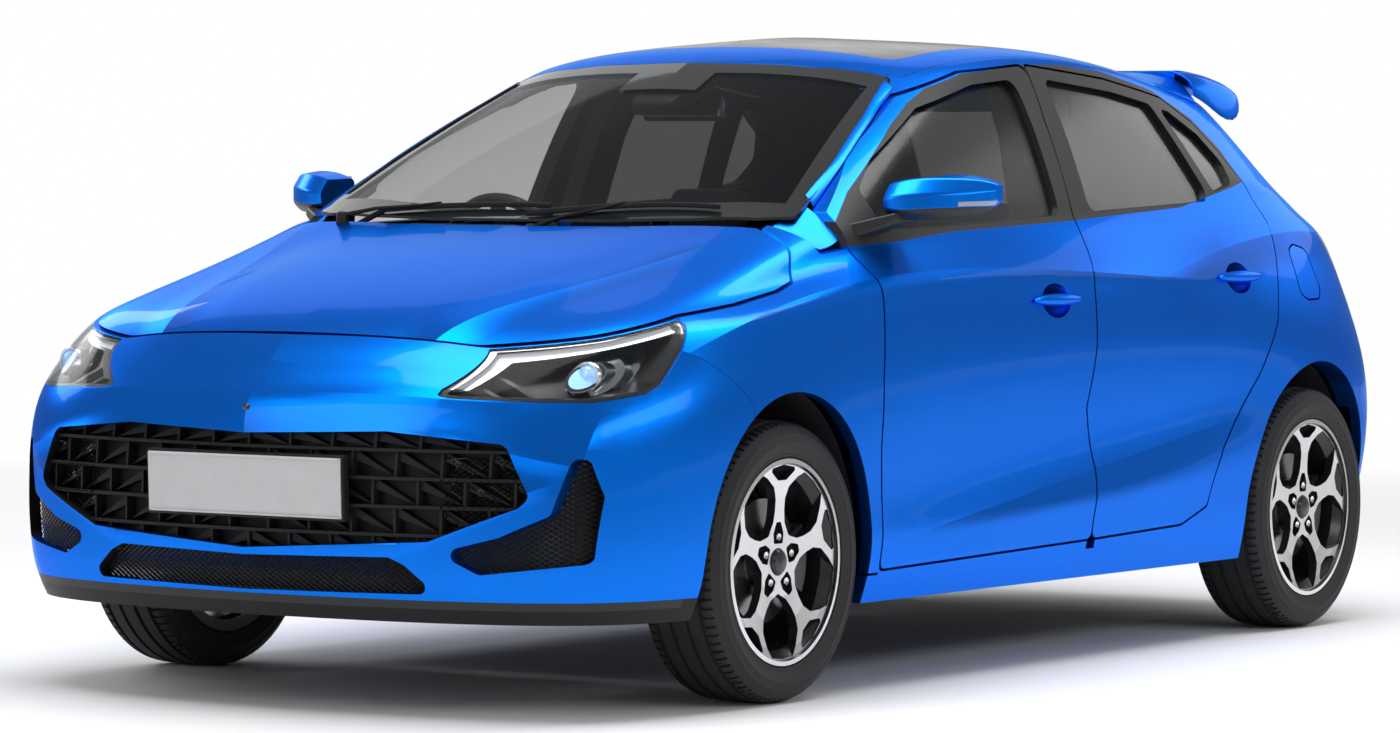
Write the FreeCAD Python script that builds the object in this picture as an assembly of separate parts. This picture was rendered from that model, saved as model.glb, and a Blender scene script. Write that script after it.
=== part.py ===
import FreeCAD, Part
import math
import os

# Five-door hatchback car. Millimetres. +X is the front, +Y is the car's left, +Z is up.
# The origin is on the ground under the middle of the car.

V = FreeCAD.Vector
X, Y, Z = V(1, 0, 0), V(0, 1, 0), V(0, 0, 1)

# Driving dimensions of the whole car
FRONT_OVERHANG = 835.0      # axle to the foremost point of the nose
REAR_OVERHANG = 691.0       # axle to the rearmost point of the bumper
WHEELBASE = 2570.0
BODY_WIDTH = 1788.0         # over the widest part of the skin, without the mirrors
BODY_HEIGHT = 1508.0        # ground to the highest point of the roof
FRONT_AXLE = 1213.0         # front axle's place ahead of the origin
REAR_AXLE = FRONT_AXLE - WHEELBASE

# Clearances
SHUT_GAP = 6.0              # between painted panels, all round a door or lid
SEAT_GAP = 0.3              # between a piece and what it is seated in
RUN_GAP = 0.3               # radial play of a pivot

# Thicknesses, square to the skin
PANEL = 28.0                # wings, roof, bumpers, bonnet and tailgate
DOOR = 75.0                 # lower door
FRAME = 42.0                # door frame round its glass
SIDE = 60.0                 # pillars and rear quarter
GLASS = 5.0
LAMP_DEPTH = 70.0

# Wheels
TYRE_RADIUS = 312.0
TYRE_WIDTH = 206.0
WHEEL_Y = 768.0             # middle of the tyre from the car's middle
RIM_RADIUS = 216.0          # seat of the tyre's bead
DISC_RADIUS = 138.0
STUB_RADIUS = 19.0
KINGPIN_Y = 730.0
KINGPIN_RADIUS = 10.0
BALL_DROP = 128.0           # kingpin eyes above and below the wheel's centre

# Wheel arches: half width and height over the axle, at the skin
FRONT_ARCH = (340.0, 375.0)
REAR_ARCH = (372.0, 380.0)
LINER = 5.0
LINER_GAP = 10.0            # liner outside the arch's edge

# The skin of the left half is one smooth surface. Its control net runs in columns from the middle of
# the nose, along the left side, to the middle of the tail, and in rows from the bottom edge up to the
# centre line of the roof. A row gives its key points as column: (x, y, z) and the columns between
# follow smoothly. x is counted from the front axle, where the drawn wheelbase is 2570.
DRAWN_FRONT_AXLE = 1213.0
DRAWN_REAR_AXLE = -1357.0
DRAWN_NOSE = 2048.0
DRAWN_TAIL = -2060.0
DRAWN_HALF_WIDTH = 894.0
DRAWN_HEIGHT = 1508.0
COLUMNS = 26
DEGREE = 3
ROWS = [
    # bottom edge
    {0: (1985, 0, 185), 2: (1965, 345, 185), 3: (1930, 500, 185), 4: (1880, 640, 185), 
     5: (1800, 745, 185), 6: (1690, 805, 185), 7: (1560, 825, 185), 9: (1213, 838, 185), 
     11: (800, 842, 185), 13: (100, 845, 185), 15: (-600, 845, 185), 17: (-1150, 840, 185), 
     18: (-1400, 835, 185), 19: (-1620, 812, 185), 20: (-1785, 755, 185), 21: (-1895, 655, 185), 
     22: (-1955, 520, 185), 23: (-1985, 340, 185), 25: (-2000, 0, 185)},
    # chin, sill and door foot
    {0: (2030, 0, 250), 2: (2008, 345, 250), 3: (1976, 500, 250), 4: (1925, 645, 252), 
     5: (1835, 765, 255), 6: (1705, 830, 258), 7: (1560, 858, 260), 9: (1213, 866, 262), 
     11: (800, 870, 268), 13: (100, 872, 280), 15: (-600, 872, 290), 17: (-1150, 864, 290), 
     18: (-1400, 858, 285), 19: (-1620, 840, 285), 20: (-1800, 785, 285), 21: (-1925, 685, 285), 
     22: (-1998, 540, 285), 23: (-2032, 345, 285), 25: (-2045, 0, 285)},
    # under the lower ridge
    {0: (2042, 0, 330), 2: (2014, 345, 330), 3: (1980, 500, 330), 4: (1930, 650, 330), 
     5: (1843, 772, 330), 6: (1714, 842, 328), 7: (1560, 872, 325), 9: (1213, 880, 325), 
     11: (800, 874, 318), 13: (100, 872, 332), 15: (-600, 872, 358), 17: (-1150, 868, 385), 
     18: (-1400, 868, 375), 19: (-1620, 852, 365), 20: (-1808, 800, 362), 21: (-1938, 700, 360), 
     22: (-2010, 550, 360), 23: (-2045, 345, 360), 25: (-2058, 0, 360)},
    # lower ridge
    {0: (2048, 0, 410), 2: (2018, 345, 410), 3: (1982, 500, 410), 4: (1932, 652, 410), 
     5: (1846, 776, 405), 6: (1716, 846, 395), 7: (1560, 876, 385), 9: (1213, 886, 375), 
     11: (800, 878, 352), 13: (100, 889, 378), 15: (-600, 894, 432), 16: (-900, 890, 478), 
     17: (-1150, 886, 510), 18: (-1400, 888, 500), 19: (-1620, 866, 470), 20: (-1815, 815, 455), 
     21: (-1945, 712, 450), 22: (-2014, 555, 448), 23: (-2048, 345, 446), 25: (-2060, 0, 445)},
    # valley above the ridge
    {0: (2048, 0, 500), 2: (2018, 345, 500), 3: (1982, 500, 500), 4: (1932, 652, 500), 
     5: (1846, 776, 498), 6: (1716, 846, 490), 7: (1560, 878, 475), 9: (1213, 890, 455), 
     11: (800, 875, 425), 13: (100, 864, 472), 15: (-600, 866, 540), 16: (-900, 874, 590), 
     17: (-1150, 888, 610), 18: (-1400, 892, 600), 19: (-1620, 872, 575), 20: (-1815, 822, 560), 
     21: (-1942, 716, 555), 22: (-2010, 556, 550), 23: (-2043, 345, 548), 25: (-2055, 0, 545)},
    # lower belly
    {0: (2044, 0, 590), 2: (2008, 345, 590), 3: (1974, 498, 592), 4: (1926, 648, 594), 
     5: (1842, 772, 596), 6: (1713, 844, 596), 7: (1560, 877, 590), 9: (1213, 893, 570), 
     11: (800, 885, 565), 13: (100, 876, 605), 15: (-600, 880, 655), 17: (-1150, 893, 705), 
     18: (-1400, 890, 700), 19: (-1620, 868, 680), 20: (-1800, 818, 668), 21: (-1925, 712, 660), 
     22: (-1992, 552, 655), 23: (-2025, 345, 652), 25: (-2038, 0, 650)},
    # upper belly
    {0: (2038, 0, 662), 2: (1990, 345, 662), 3: (1952, 490, 668), 4: (1900, 632, 676), 
     5: (1822, 752, 684), 6: (1705, 826, 690), 7: (1560, 866, 696), 9: (1213, 890, 700), 
     11: (800, 893, 715), 13: (100, 890, 745), 15: (-600, 888, 765), 17: (-1150, 886, 800), 
     18: (-1400, 876, 800), 19: (-1620, 845, 790), 20: (-1785, 790, 780), 21: (-1900, 690, 772), 
     22: (-1965, 540, 768), 23: (-1998, 340, 765), 25: (-2010, 0, 765)},
    # just under the crease
    {0: (2010, 0, 690), 2: (1968, 345, 694), 3: (1922, 470, 716), 4: (1855, 590, 742), 
     5: (1780, 692, 764), 6: (1680, 770, 782), 7: (1550, 825, 795), 8: (1380, 852, 812), 
     9: (1213, 864, 838), 10: (1000, 868, 868), 11: (800, 870, 890), 13: (100, 868, 908), 
     15: (-600, 868, 900), 16: (-900, 866, 915), 17: (-1150, 852, 930), 18: (-1400, 832, 935), 
     19: (-1620, 790, 932), 20: (-1775, 735, 925), 21: (-1875, 640, 918), 22: (-1930, 500, 912), 
     23: (-1958, 320, 910), 25: (-1970, 0, 908)},
    # crease along nose, shoulder and haunch
    {0: (1993, 0, 702), 2: (1950, 345, 715), 3: (1890, 470, 752), 4: (1820, 575, 786), 
     5: (1735, 665, 812), 6: (1640, 735, 828), 7: (1525, 792, 842), 8: (1375, 830, 850), 
     9: (1213, 846, 872), 10: (1000, 852, 905), 11: (800, 858, 925), 13: (100, 860, 943), 
     14: (-250, 860, 940), 15: (-600, 858, 938), 16: (-900, 846, 985), 17: (-1150, 826, 1010), 
     18: (-1400, 796, 1022), 19: (-1620, 752, 1024), 20: (-1785, 690, 1014), 21: (-1875, 600, 1006), 
     22: (-1925, 465, 1002), 23: (-1952, 310, 1000), 25: (-1965, 0, 1000)},
    # edge of the bonnet and of the belt
    {0: (1910, 0, 806), 2: (1882, 345, 806), 3: (1832, 462, 806), 4: (1765, 560, 820), 
     5: (1680, 650, 838), 6: (1590, 715, 852), 7: (1485, 758, 864), 8: (1350, 776, 877), 
     9: (1213, 784, 893), 10: (1010, 790, 930), 11: (800, 794, 985), 12: (450, 796, 1018), 
     13: (100, 800, 1034), 14: (-250, 800, 1048), 15: (-600, 795, 1066), 16: (-900, 784, 1092), 
     17: (-1150, 766, 1118), 18: (-1400, 738, 1100), 19: (-1610, 700, 1070), 20: (-1765, 640, 1050), 
     21: (-1855, 555, 1040), 22: (-1905, 430, 1034), 23: (-1930, 290, 1030), 25: (-1943, 0, 1030)},
    {0: (1760, 0, 882), 2: (1745, 345, 876), 3: (1715, 450, 862), 4: (1670, 545, 858), 
     5: (1610, 630, 864), 6: (1535, 692, 874), 7: (1430, 735, 888), 8: (1290, 752, 908), 
     9: (1130, 758, 935), 10: (965, 768, 968), 11: (780, 784, 1004), 12: (445, 786, 1034), 
     13: (98, 789, 1049), 14: (-252, 789, 1063), 15: (-602, 785, 1081), 16: (-902, 775, 1106), 
     17: (-1150, 760, 1134), 18: (-1395, 732, 1112), 19: (-1600, 692, 1082), 20: (-1752, 630, 1062), 
     21: (-1840, 545, 1050), 22: (-1890, 425, 1044), 23: (-1915, 285, 1040), 25: (-1928, 0, 1040)},
    {0: (1400, 0, 976), 2: (1390, 345, 968), 3: (1375, 450, 950), 4: (1350, 540, 940), 
     5: (1310, 610, 942), 6: (1255, 665, 948), 7: (1185, 705, 958), 8: (1100, 728, 975), 
     9: (1020, 738, 995), 10: (915, 755, 1012), 11: (765, 778, 1024), 12: (440, 780, 1048), 
     13: (96, 783, 1062), 14: (-254, 783, 1076), 15: (-604, 779, 1093), 16: (-904, 769, 1118), 
     17: (-1150, 754, 1148), 18: (-1388, 726, 1124), 19: (-1590, 684, 1094), 20: (-1740, 622, 1074), 
     21: (-1826, 538, 1062), 22: (-1875, 420, 1056), 23: (-1900, 282, 1052), 25: (-1912, 0, 1052)},
    # cowl and foot of the side glass
    {0: (1060, 0, 1036), 2: (1045, 330, 1036), 3: (1030, 440, 1038), 4: (1010, 520, 1042), 
     5: (985, 580, 1046), 6: (955, 625, 1048), 7: (930, 660, 1048), 8: (905, 690, 1046), 
     9: (880, 715, 1044), 10: (830, 742, 1046), 11: (730, 768, 1052), 12: (430, 773, 1070), 
     13: (92, 776, 1083), 14: (-258, 776, 1097), 15: (-606, 772, 1113), 16: (-906, 762, 1136), 
     17: (-1148, 748, 1164), 18: (-1380, 718, 1140), 19: (-1575, 674, 1110), 20: (-1722, 612, 1090), 
     21: (-1806, 530, 1080), 22: (-1855, 415, 1074), 23: (-1880, 280, 1070), 25: (-1892, 0, 1070)},
    # lower windscreen
    {0: (975, 0, 1068), 2: (962, 320, 1070), 3: (945, 425, 1074), 4: (922, 505, 1078), 
     5: (895, 565, 1082), 6: (868, 610, 1086), 7: (842, 645, 1090), 8: (818, 675, 1092), 
     9: (790, 702, 1094), 10: (735, 728, 1098), 11: (610, 750, 1106), 12: (360, 757, 1120), 
     13: (60, 760, 1130), 14: (-275, 760, 1140), 15: (-612, 757, 1153), 16: (-905, 746, 1172), 
     17: (-1135, 726, 1190), 18: (-1345, 695, 1172), 19: (-1520, 655, 1150), 20: (-1660, 596, 1132), 
     21: (-1745, 515, 1122), 22: (-1795, 405, 1116), 23: (-1820, 275, 1112), 25: (-1832, 0, 1112)},
    # middle of the glass
    {0: (640, 0, 1262), 2: (630, 270, 1260), 3: (618, 360, 1258), 4: (602, 435, 1256), 
     5: (584, 492, 1254), 6: (564, 540, 1252), 7: (545, 580, 1250), 8: (525, 615, 1248), 
     9: (500, 645, 1246), 10: (440, 672, 1250), 11: (320, 690, 1262), 12: (130, 697, 1276), 
     13: (-100, 700, 1284), 14: (-370, 700, 1286), 15: (-650, 698, 1284), 16: (-890, 692, 1276), 
     17: (-1085, 678, 1262), 18: (-1255, 655, 1250), 19: (-1395, 622, 1244), 20: (-1515, 575, 1242), 
     21: (-1600, 500, 1242), 22: (-1655, 395, 1242), 23: (-1685, 265, 1242), 25: (-1700, 0, 1242)},
    # head of the glass
    {0: (292, 0, 1438), 2: (284, 220, 1434), 3: (274, 300, 1429), 4: (262, 370, 1424), 
     5: (248, 425, 1418), 6: (232, 472, 1411), 7: (216, 512, 1404), 8: (198, 545, 1398), 
     9: (172, 572, 1394), 10: (112, 596, 1400), 11: (0, 612, 1412), 12: (-130, 618, 1422), 
     13: (-290, 620, 1428), 14: (-480, 620, 1426), 15: (-690, 620, 1414), 16: (-880, 618, 1392), 
     17: (-1030, 611, 1366), 18: (-1165, 598, 1348), 19: (-1285, 577, 1340), 20: (-1390, 540, 1340), 
     21: (-1470, 478, 1344), 22: (-1525, 385, 1350), 23: (-1560, 260, 1354), 25: (-1578, 0, 1356)},
    # edge of the roof
    {0: (215, 0, 1463), 2: (207, 210, 1460), 3: (196, 285, 1456), 4: (184, 350, 1452), 
     5: (170, 402, 1448), 6: (152, 446, 1444), 7: (132, 484, 1440), 8: (108, 515, 1438), 
     9: (75, 542, 1438), 10: (15, 562, 1446), 11: (-75, 575, 1457), 12: (-180, 580, 1466), 
     13: (-320, 582, 1472), 14: (-495, 582, 1470), 15: (-690, 581, 1458), 16: (-870, 577, 1438), 
     17: (-1015, 567, 1416), 18: (-1145, 550, 1400), 19: (-1260, 526, 1393), 20: (-1360, 488, 1392), 
     21: (-1440, 432, 1396), 22: (-1500, 350, 1402), 23: (-1540, 240, 1408), 25: (-1560, 0, 1412)},
    # middle of the roof
    {0: (120, 0, 1480), 2: (112, 150, 1479), 4: (92, 240, 1476), 6: (60, 300, 1474), 
     8: (10, 340, 1474), 10: (-80, 365, 1481), 12: (-230, 378, 1490), 13: (-350, 382, 1494), 
     14: (-500, 384, 1494), 15: (-680, 383, 1486), 16: (-850, 380, 1470), 17: (-985, 372, 1452), 
     18: (-1110, 358, 1436), 20: (-1320, 310, 1422), 22: (-1460, 215, 1420), 23: (-1500, 145, 1422), 
     25: (-1525, 0, 1424)},
    # centre line of the roof
    {0: (60, 0, 1490), 4: (0, 0, 1496), 8: (-100, 0, 1502), 10: (-190, 0, 1506), 12: (-320, 0, 1508), 
     14: (-540, 0, 1507), 16: (-830, 0, 1492), 18: (-1080, 0, 1467), 20: (-1280, 0, 1446), 
     22: (-1410, 0, 1435), 25: (-1490, 0, 1428)},
]


def station(x):
    """The place along the car of a drawn x, for the car's real wheelbase and overhangs."""
    if x > DRAWN_FRONT_AXLE:
        return FRONT_AXLE + (x - DRAWN_FRONT_AXLE) * FRONT_OVERHANG / (DRAWN_NOSE - DRAWN_FRONT_AXLE)
    if x < DRAWN_REAR_AXLE:
        return REAR_AXLE + (x - DRAWN_REAR_AXLE) * REAR_OVERHANG / (DRAWN_REAR_AXLE - DRAWN_TAIL)
    return FRONT_AXLE + (x - DRAWN_FRONT_AXLE) * WHEELBASE / (DRAWN_FRONT_AXLE - DRAWN_REAR_AXLE)


def side(y):
    return y * BODY_WIDTH / 2 / DRAWN_HALF_WIDTH


def up(z):
    return z * BODY_HEIGHT / DRAWN_HEIGHT


def smooth(xs, ys, count):
    """Values at 0, 1 ... count - 1 of the smooth curve through the key values."""
    gaps = [b - a for a, b in zip(xs, xs[1:])]
    slopes = [(b - a) / h for a, b, h in zip(ys, ys[1:], gaps)]
    tangents = [slopes[0]]
    for i in range(1, len(gaps)):
        tangents.append((gaps[i] * slopes[i - 1] + gaps[i - 1] * slopes[i]) / (gaps[i - 1] + gaps[i]))
    tangents.append(slopes[-1])
    values = []
    for q in range(count):
        i = max(k for k in range(len(gaps)) if xs[k] <= q)
        t, h = (q - xs[i]) / gaps[i], gaps[i]
        start = ys[i] * (2 * t**3 - 3 * t**2 + 1) + tangents[i] * h * (t**3 - 2 * t**2 + t)
        end = ys[i + 1] * (3 * t**2 - 2 * t**3) + tangents[i + 1] * h * (t**3 - t**2)
        values.append(start + end)
    return values


def skin_net():
    net = []
    for row in ROWS:
        keys = sorted(row)
        xs = smooth(keys, [station(row[k][0]) for k in keys], COLUMNS)
        ys = smooth(keys, [side(row[k][1]) for k in keys], COLUMNS)
        zs = smooth(keys, [up(row[k][2]) for k in keys], COLUMNS)
        net.append([V(x, y, z) for x, y, z in zip(xs, ys, zs)])
    return net


def inward(net, depth):
    """The net moved square to itself into the car, with its bottom edge lowered to cut right through."""
    last_row, last_col = len(net) - 1, COLUMNS - 1
    moved = []
    for j, row in enumerate(net):
        new_row = []
        for i, point in enumerate(row):
            along = row[min(i + 1, last_col)] - row[max(i - 1, 0)]
            rise = net[min(j + 1, last_row)][i] - net[max(j - 1, 0)][i]
            if j == last_row:
                rise = V(0, -1, 0)
            elif i in (0, last_col):
                along = V(0, 1 if i == 0 else -1, 0)
            normal = along.cross(rise)
            if i in (0, last_col) or j == last_row:
                normal.y = 0
            if j == 0:
                normal.z = 0
            normal.normalize()
            place = point - normal * depth
            if j == 0:
                place.z = point.z - 30
            if i in (0, last_col) or j == last_row:
                place.y = 0
            new_row.append(place)
        moved.append(new_row)
    return moved


def knot_row(count):
    spans = count - DEGREE
    return [i / spans for i in range(spans + 1)], [DEGREE + 1] + [1] * (spans - 1) + [DEGREE + 1]


def half_body(net):
    """The solid between a net's surface, the car's middle plane and the level of its bottom edge."""
    surface = Part.BSplineSurface()
    poles = [[row[i] for row in net] for i in range(COLUMNS)]
    u_knots, u_mults = knot_row(COLUMNS)
    v_knots, v_mults = knot_row(len(net))
    surface.buildFromPolesMultsKnots(poles, u_mults, v_mults, u_knots, v_knots, False, False, DEGREE, DEGREE)
    bottom, top = surface.vIso(0).toShape(), surface.vIso(1).toShape()
    front, rear = surface.uIso(0).toShape(), surface.uIso(1).toShape()
    floor_line = Part.makeLine(net[0][0], net[0][-1])
    under = Part.Face(Part.Wire(Part.__sortEdges__([bottom, floor_line])))
    middle = Part.Face(Part.Wire(Part.__sortEdges__([front, top, rear, floor_line])))
    shell = Part.makeShell([surface.toShape(), under, middle])
    shell.sewShape()
    solid = Part.Solid(shell)
    if solid.Volume < 0:
        solid.reverse()
    return solid


NET = skin_net()
SKIN = half_body(NET)
INNER = {}
LAYERS = {}


def inside(depth):
    """The half body whose surface lies the given depth inside the skin."""
    if depth not in INNER:
        INNER[depth] = half_body(inward(NET, depth))
    return INNER[depth]


def layer(depth, start=0.0):
    """The half skin as a shell between two depths."""
    if (depth, start) not in LAYERS:
        outer = SKIN if start == 0 else inside(start)
        LAYERS[depth, start] = outer.cut(inside(depth))
    return LAYERS[depth, start]


def mirrored(shape):
    return shape.mirror(V(0, 0, 0), Y)


def both(shape):
    """One solid from a left half and its mirror image."""
    return shape.fuse(mirrored(shape)).removeSplitter()


def box(x0, x1, y0, y1, z0, z1):
    return Part.makeBox(x1 - x0, y1 - y0, z1 - z0, V(x0, y0, z0))


def rod(start, end, radius):
    return Part.makeCylinder(radius, (end - start).Length, start, end - start)


def rounded(points, radius, place):
    """Closed wire through the points with its corners rounded. place turns (a, b) into a vector."""
    flat = [V(a, b, 0) for a, b in points]
    count = len(flat)
    corners = []
    for i, corner in enumerate(flat):
        before, after = flat[i - 1] - corner, flat[(i + 1) % count] - corner
        turn = math.pi - before.getAngle(after)
        cut = min(radius * math.tan(turn / 2), 0.45 * before.Length, 0.45 * after.Length)
        if cut < 0.5:
            cut = 0.5
        before.normalize()
        after.normalize()
        middle = before + after
        if middle.Length < 1e-3 or turn < 0.01:
            mid = corner
        else:
            middle.normalize()
            bend = cut / math.tan(turn / 2)
            mid = corner + middle * (math.hypot(cut, bend) - bend)
        corners.append((corner + before * cut, mid, corner + after * cut, turn))
    edges = []
    for i, (start, mid, end, turn) in enumerate(corners):
        p, q, r = (place(v.x, v.y) for v in (start, mid, end))
        edges.append(Part.makeLine(p, r) if turn < 0.01 else Part.Arc(p, q, r).toShape())
        following = corners[(i + 1) % count][0]
        edges.append(Part.makeLine(r, place(following.x, following.y)))
    return Part.Wire(edges)


def grown(points, distance):
    """The outline moved outwards by a distance, or inwards where it is negative."""
    count = len(points)
    area = sum(points[i - 1][0] * points[i][1] - points[i][0] * points[i - 1][1] for i in range(count))
    turn = 1 if area > 0 else -1
    moved = []
    for i, (a, b) in enumerate(points):
        p, n = points[i - 1], points[(i + 1) % count]
        u = V(a - p[0], b - p[1], 0)
        w = V(n[0] - a, n[1] - b, 0)
        u.normalize()
        w.normalize()
        nu, nw = V(u.y, -u.x, 0) * turn, V(w.y, -w.x, 0) * turn
        bisector = nu + nw
        scale = distance / max(0.3, 1 + nu.dot(nw))
        moved.append((a + bisector.x * scale, b + bisector.y * scale))
    return moved


def side_tool(points, near=200.0, far=1100.0, radius=12.0):
    """Prism across the left side from an outline in (x, z)."""
    wire = rounded(points, radius, lambda a, b: V(a, near, b))
    return Part.Face(wire).extrude(V(0, far - near, 0))


def plan_tool(points, low=300.0, high=1700.0, radius=12.0):
    """Upright prism from an outline in (x, y)."""
    wire = rounded(points, radius, lambda a, b: V(a, b, low))
    return Part.Face(wire).extrude(V(0, 0, high - low))


def end_tool(points, near, far, radius=12.0):
    """Prism along the car from an outline in (y, z)."""
    wire = rounded(points, radius, lambda a, b: V(near, a, b))
    return Part.Face(wire).extrude(V(far - near, 0, 0))


def drawn(points):
    """Outline in (x, z) moved to the car's real sizes."""
    return [(station(x), up(z)) for x, z in points]


# Outlines on the left side, in (x, z)
BELT = [(926, 985), (821, 999), (384, 1033), (-189, 1057), (-772, 1089), (-1156, 1151)]
FRONT_DOOR = drawn([
    (829, 272), (827, 349), (832, 411), (848, 547), (845, 710), (825, 824), (808, 928), (824, 1000),
    (812, 1080), (575, 1222), (289, 1352), (31, 1413), (-276, 1437), (-240, 1300), (-212, 1069),
    (-199, 982), (-174, 903), (-160, 757), (-125, 611), (-172, 461), (-164, 383), (-163, 291)])
REAR_DOOR = drawn([
    (-163, 291), (-164, 383), (-172, 461), (-125, 611), (-160, 757), (-174, 903), (-199, 982),
    (-212, 1069), (-240, 1300), (-276, 1437), (-661, 1410), (-970, 1368), (-1105, 1305),
    (-1165, 1235), (-1195, 1160), (-1236, 1047), (-1171, 901), (-1123, 798), (-1013, 665),
    (-880, 540), (-824, 486), (-785, 420), (-760, 344), (-628, 303)])
FRONT_WINDOW = drawn([
    (668, 1036), (676, 1128), (560, 1200), (280, 1323), (20, 1382), (-180, 1400), (-150, 1071), (384, 1046)])
REAR_WINDOW = drawn([
    (-300, 1078), (-330, 1403), (-661, 1377), (-860, 1350), (-950, 1105), (-772, 1097)])
QUARTER_WINDOW = drawn([
    (-985, 1125), (-905, 1340), (-960, 1332), (-1075, 1275), (-1130, 1205), (-1110, 1148)])
HINGE_FRONT = (station(790.0), side(887.0))
HINGE_REAR = (station(-205.0), side(884.0))


def skin_y(z):
    """Rough half width of the cabin at a height, for the draft of the door tools."""
    levels = [(0, 885), (880, 880), (1048, 796), (1140, 758), (1286, 698), (1426, 622), (1700, 470)]
    for (low, y0), (high, y1) in zip(levels, levels[1:]):
        if z <= up(high):
            return side(y0 + (y1 - y0) * (z - up(low)) / (up(high) - up(low)))
    return side(levels[-1][1])


def tapered(points, hinge, free_from, outer_y=960.0, inner_y=430.0, radius=20.0):
    """Door-shaped tool across the left side, true where it meets the skin. More than free_from behind
    the hinge it narrows inwards, so that the door's far edges swing out past the edges beside them."""
    wires = []
    for y in (outer_y, inner_y):
        shifted = []
        for a, b in points:
            reach = hinge[0] - a
            lean = max(0.0, hinge[1] - skin_y(b)) + 8.0
            draft = lean / reach if reach > free_from else 0.0
            shifted.append((a + draft * (skin_y(b) - y), b))
        wires.append(rounded(shifted, radius, lambda a, b, y=y: V(a, y, b)))
    return Part.makeLoft(wires, True, True)


def tidy(shape):
    """The single largest solid of a shape."""
    return max(shape.Solids, key=lambda s: s.Volume)


def carved(shape, tools):
    """The largest solid left when each tool in turn is cut from a shape."""
    solids = shape.Solids
    for tool in tools:
        left = []
        for solid in solids:
            left += solid.cut(tool).Solids
        solids = [s for s in left if s.Volume > 1000.0]
    return max(solids, key=lambda s: s.Volume)


def save(name, *shapes):
    """Writes one node. Several shapes are like pieces that do not touch."""
    solids = [s for shape in shapes for s in shape.Solids]
    for s in solids:
        if not s.isValid():
            print("not valid:", name)
    whole = solids[0] if len(solids) == 1 else Part.makeCompound(solids)
    whole.exportStep(os.path.join("parts", name + ".step"))
    print("%-24s %2d solid(s) %8.2f dm3" % (name, len(solids), sum(s.Volume for s in solids) / 1e6))


def arch_tool(axle, arch, grow, near, far):
    """The opening of a left wheel arch: half an ellipse over the axle, straight down below it."""
    half, rise = arch[0] + grow, arch[1] + grow
    centre = V(axle, near, TYRE_RADIUS)
    if rise > half:
        curve = Part.Ellipse(centre + Z * rise, centre - X * half, centre)
    else:
        curve = Part.Ellipse(centre + X * half, centre + Z * rise, centre)
    whole = Part.Face(Part.Wire(curve.toShape())).extrude(V(0, far - near, 0))
    return whole.fuse(box(axle - half, axle + half, near, far, 50, TYRE_RADIUS))


def above_belt(rise=0.0):
    """Everything on the left above the belt line."""
    line = [(x, z + rise) for x, z in drawn(BELT)]
    ends = drawn([(-2300, 1151), (-2300, 1650), (1300, 1650), (1300, 985)])
    wire = Part.makePolygon([V(a, 250, b) for a, b in line + ends + line[:1]])
    return Part.Face(wire).extrude(V(0, 900, 0))


def make_door(outline, hinge, free_from, windows):
    blank = SKIN.common(tapered(grown(outline, -SHUT_GAP / 2), hinge, free_from))
    shell = blank.cut(inside(DOOR)).cut(inside(FRAME).common(above_belt()))
    shell = shell.cut(plan_tool(grown(SCREEN, 8.0), 900, 1700, 25))
    shell = shell.cut(plan_tool(grown(ROOF, 8.0), 1200, 1700, 20))
    for window in windows:
        shell = shell.cut(side_tool(window, 300, 1000, 30))
    return tidy(shell)


def ellipsoid(centre, radii):
    ball = Part.makeSphere(1.0)
    stretch = FreeCAD.Matrix()
    stretch.scale(*radii)
    return ball.transformGeometry(stretch).translated(centre)


def skin_at(x, z):
    """The skin's distance from the car's middle at a place on its side."""
    return Part.makeLine(V(x, 100, z), V(x, 1100, z)).common(SKIN).BoundBox.YMax


def with_handle(door, place):
    """A door with a lens-shaped pull bar across a round scoop."""
    x, z = place
    y = skin_at(x, z)
    scoop = ellipsoid(V(x, y + HANDLE_PROUD, z), SCOOP)
    bar = ellipsoid(V(x, y + HANDLE_PROUD, z), HANDLE)
    return tidy(door.cut(scoop).fuse(bar))


def make_glass(window, depth=14.0):
    pane = inside(depth).common(side_tool(grown(window, -SEAT_GAP), 300, 1000, 30))
    return tidy(pane.cut(inside(depth + GLASS)))


def plan(points):
    return [(station(x), side(y)) for x, y in points]


def ends(points):
    return [(side(y), up(z)) for y, z in points]


# Outlines from above, in (x, y)
BONNET_REAR = plan([(952, 760), (956, 690), (995, 560), (1035, 330), (1052, 120), (1054, -20),
                    (2300, -20), (2300, 1000), (952, 1000)])
SCREEN = plan([(292, -20), (290, 160), (272, 340), (217, 528), (420, 590), (640, 640), (878, 672),
               (930, 600), (975, 450), (1003, 250), (1012, -20)])
ROOF = plan([(300, -20), (290, 160), (278, 340), (205, 545), (15, 562), (-180, 572), (-495, 575),
             (-870, 570), (-1145, 545), (-1262, 505), (-1285, 300), (-1292, -20)])
COWL = plan([(1047, -20), (1045, 120), (1028, 330), (988, 560), (962, 640), (915, 640), (937, 601),
             (982, 451), (1010, 251), (1019, -20)])
SPOILER = [(-1300, 1444), (-1400, 1438), (-1500, 1424), (-1612, 1396), (-1618, 1388), (-1612, 1382),
           (-1500, 1384), (-1400, 1396), (-1300, 1412)]
SPOILER_PLAN = plan([(-1280, -20), (-1280, 485), (-1360, 492), (-1500, 462), (-1585, 420), (-1622, 250),
                     (-1630, -20)])
COWL_DEPTH = 28.0
SHELF_TOP = 985.0
SUNROOF = plan([(150, -20), (145, 300), (120, 455), (90, 470), (-560, 480), (-620, 470), (-645, 440),
                (-655, -20)])

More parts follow.
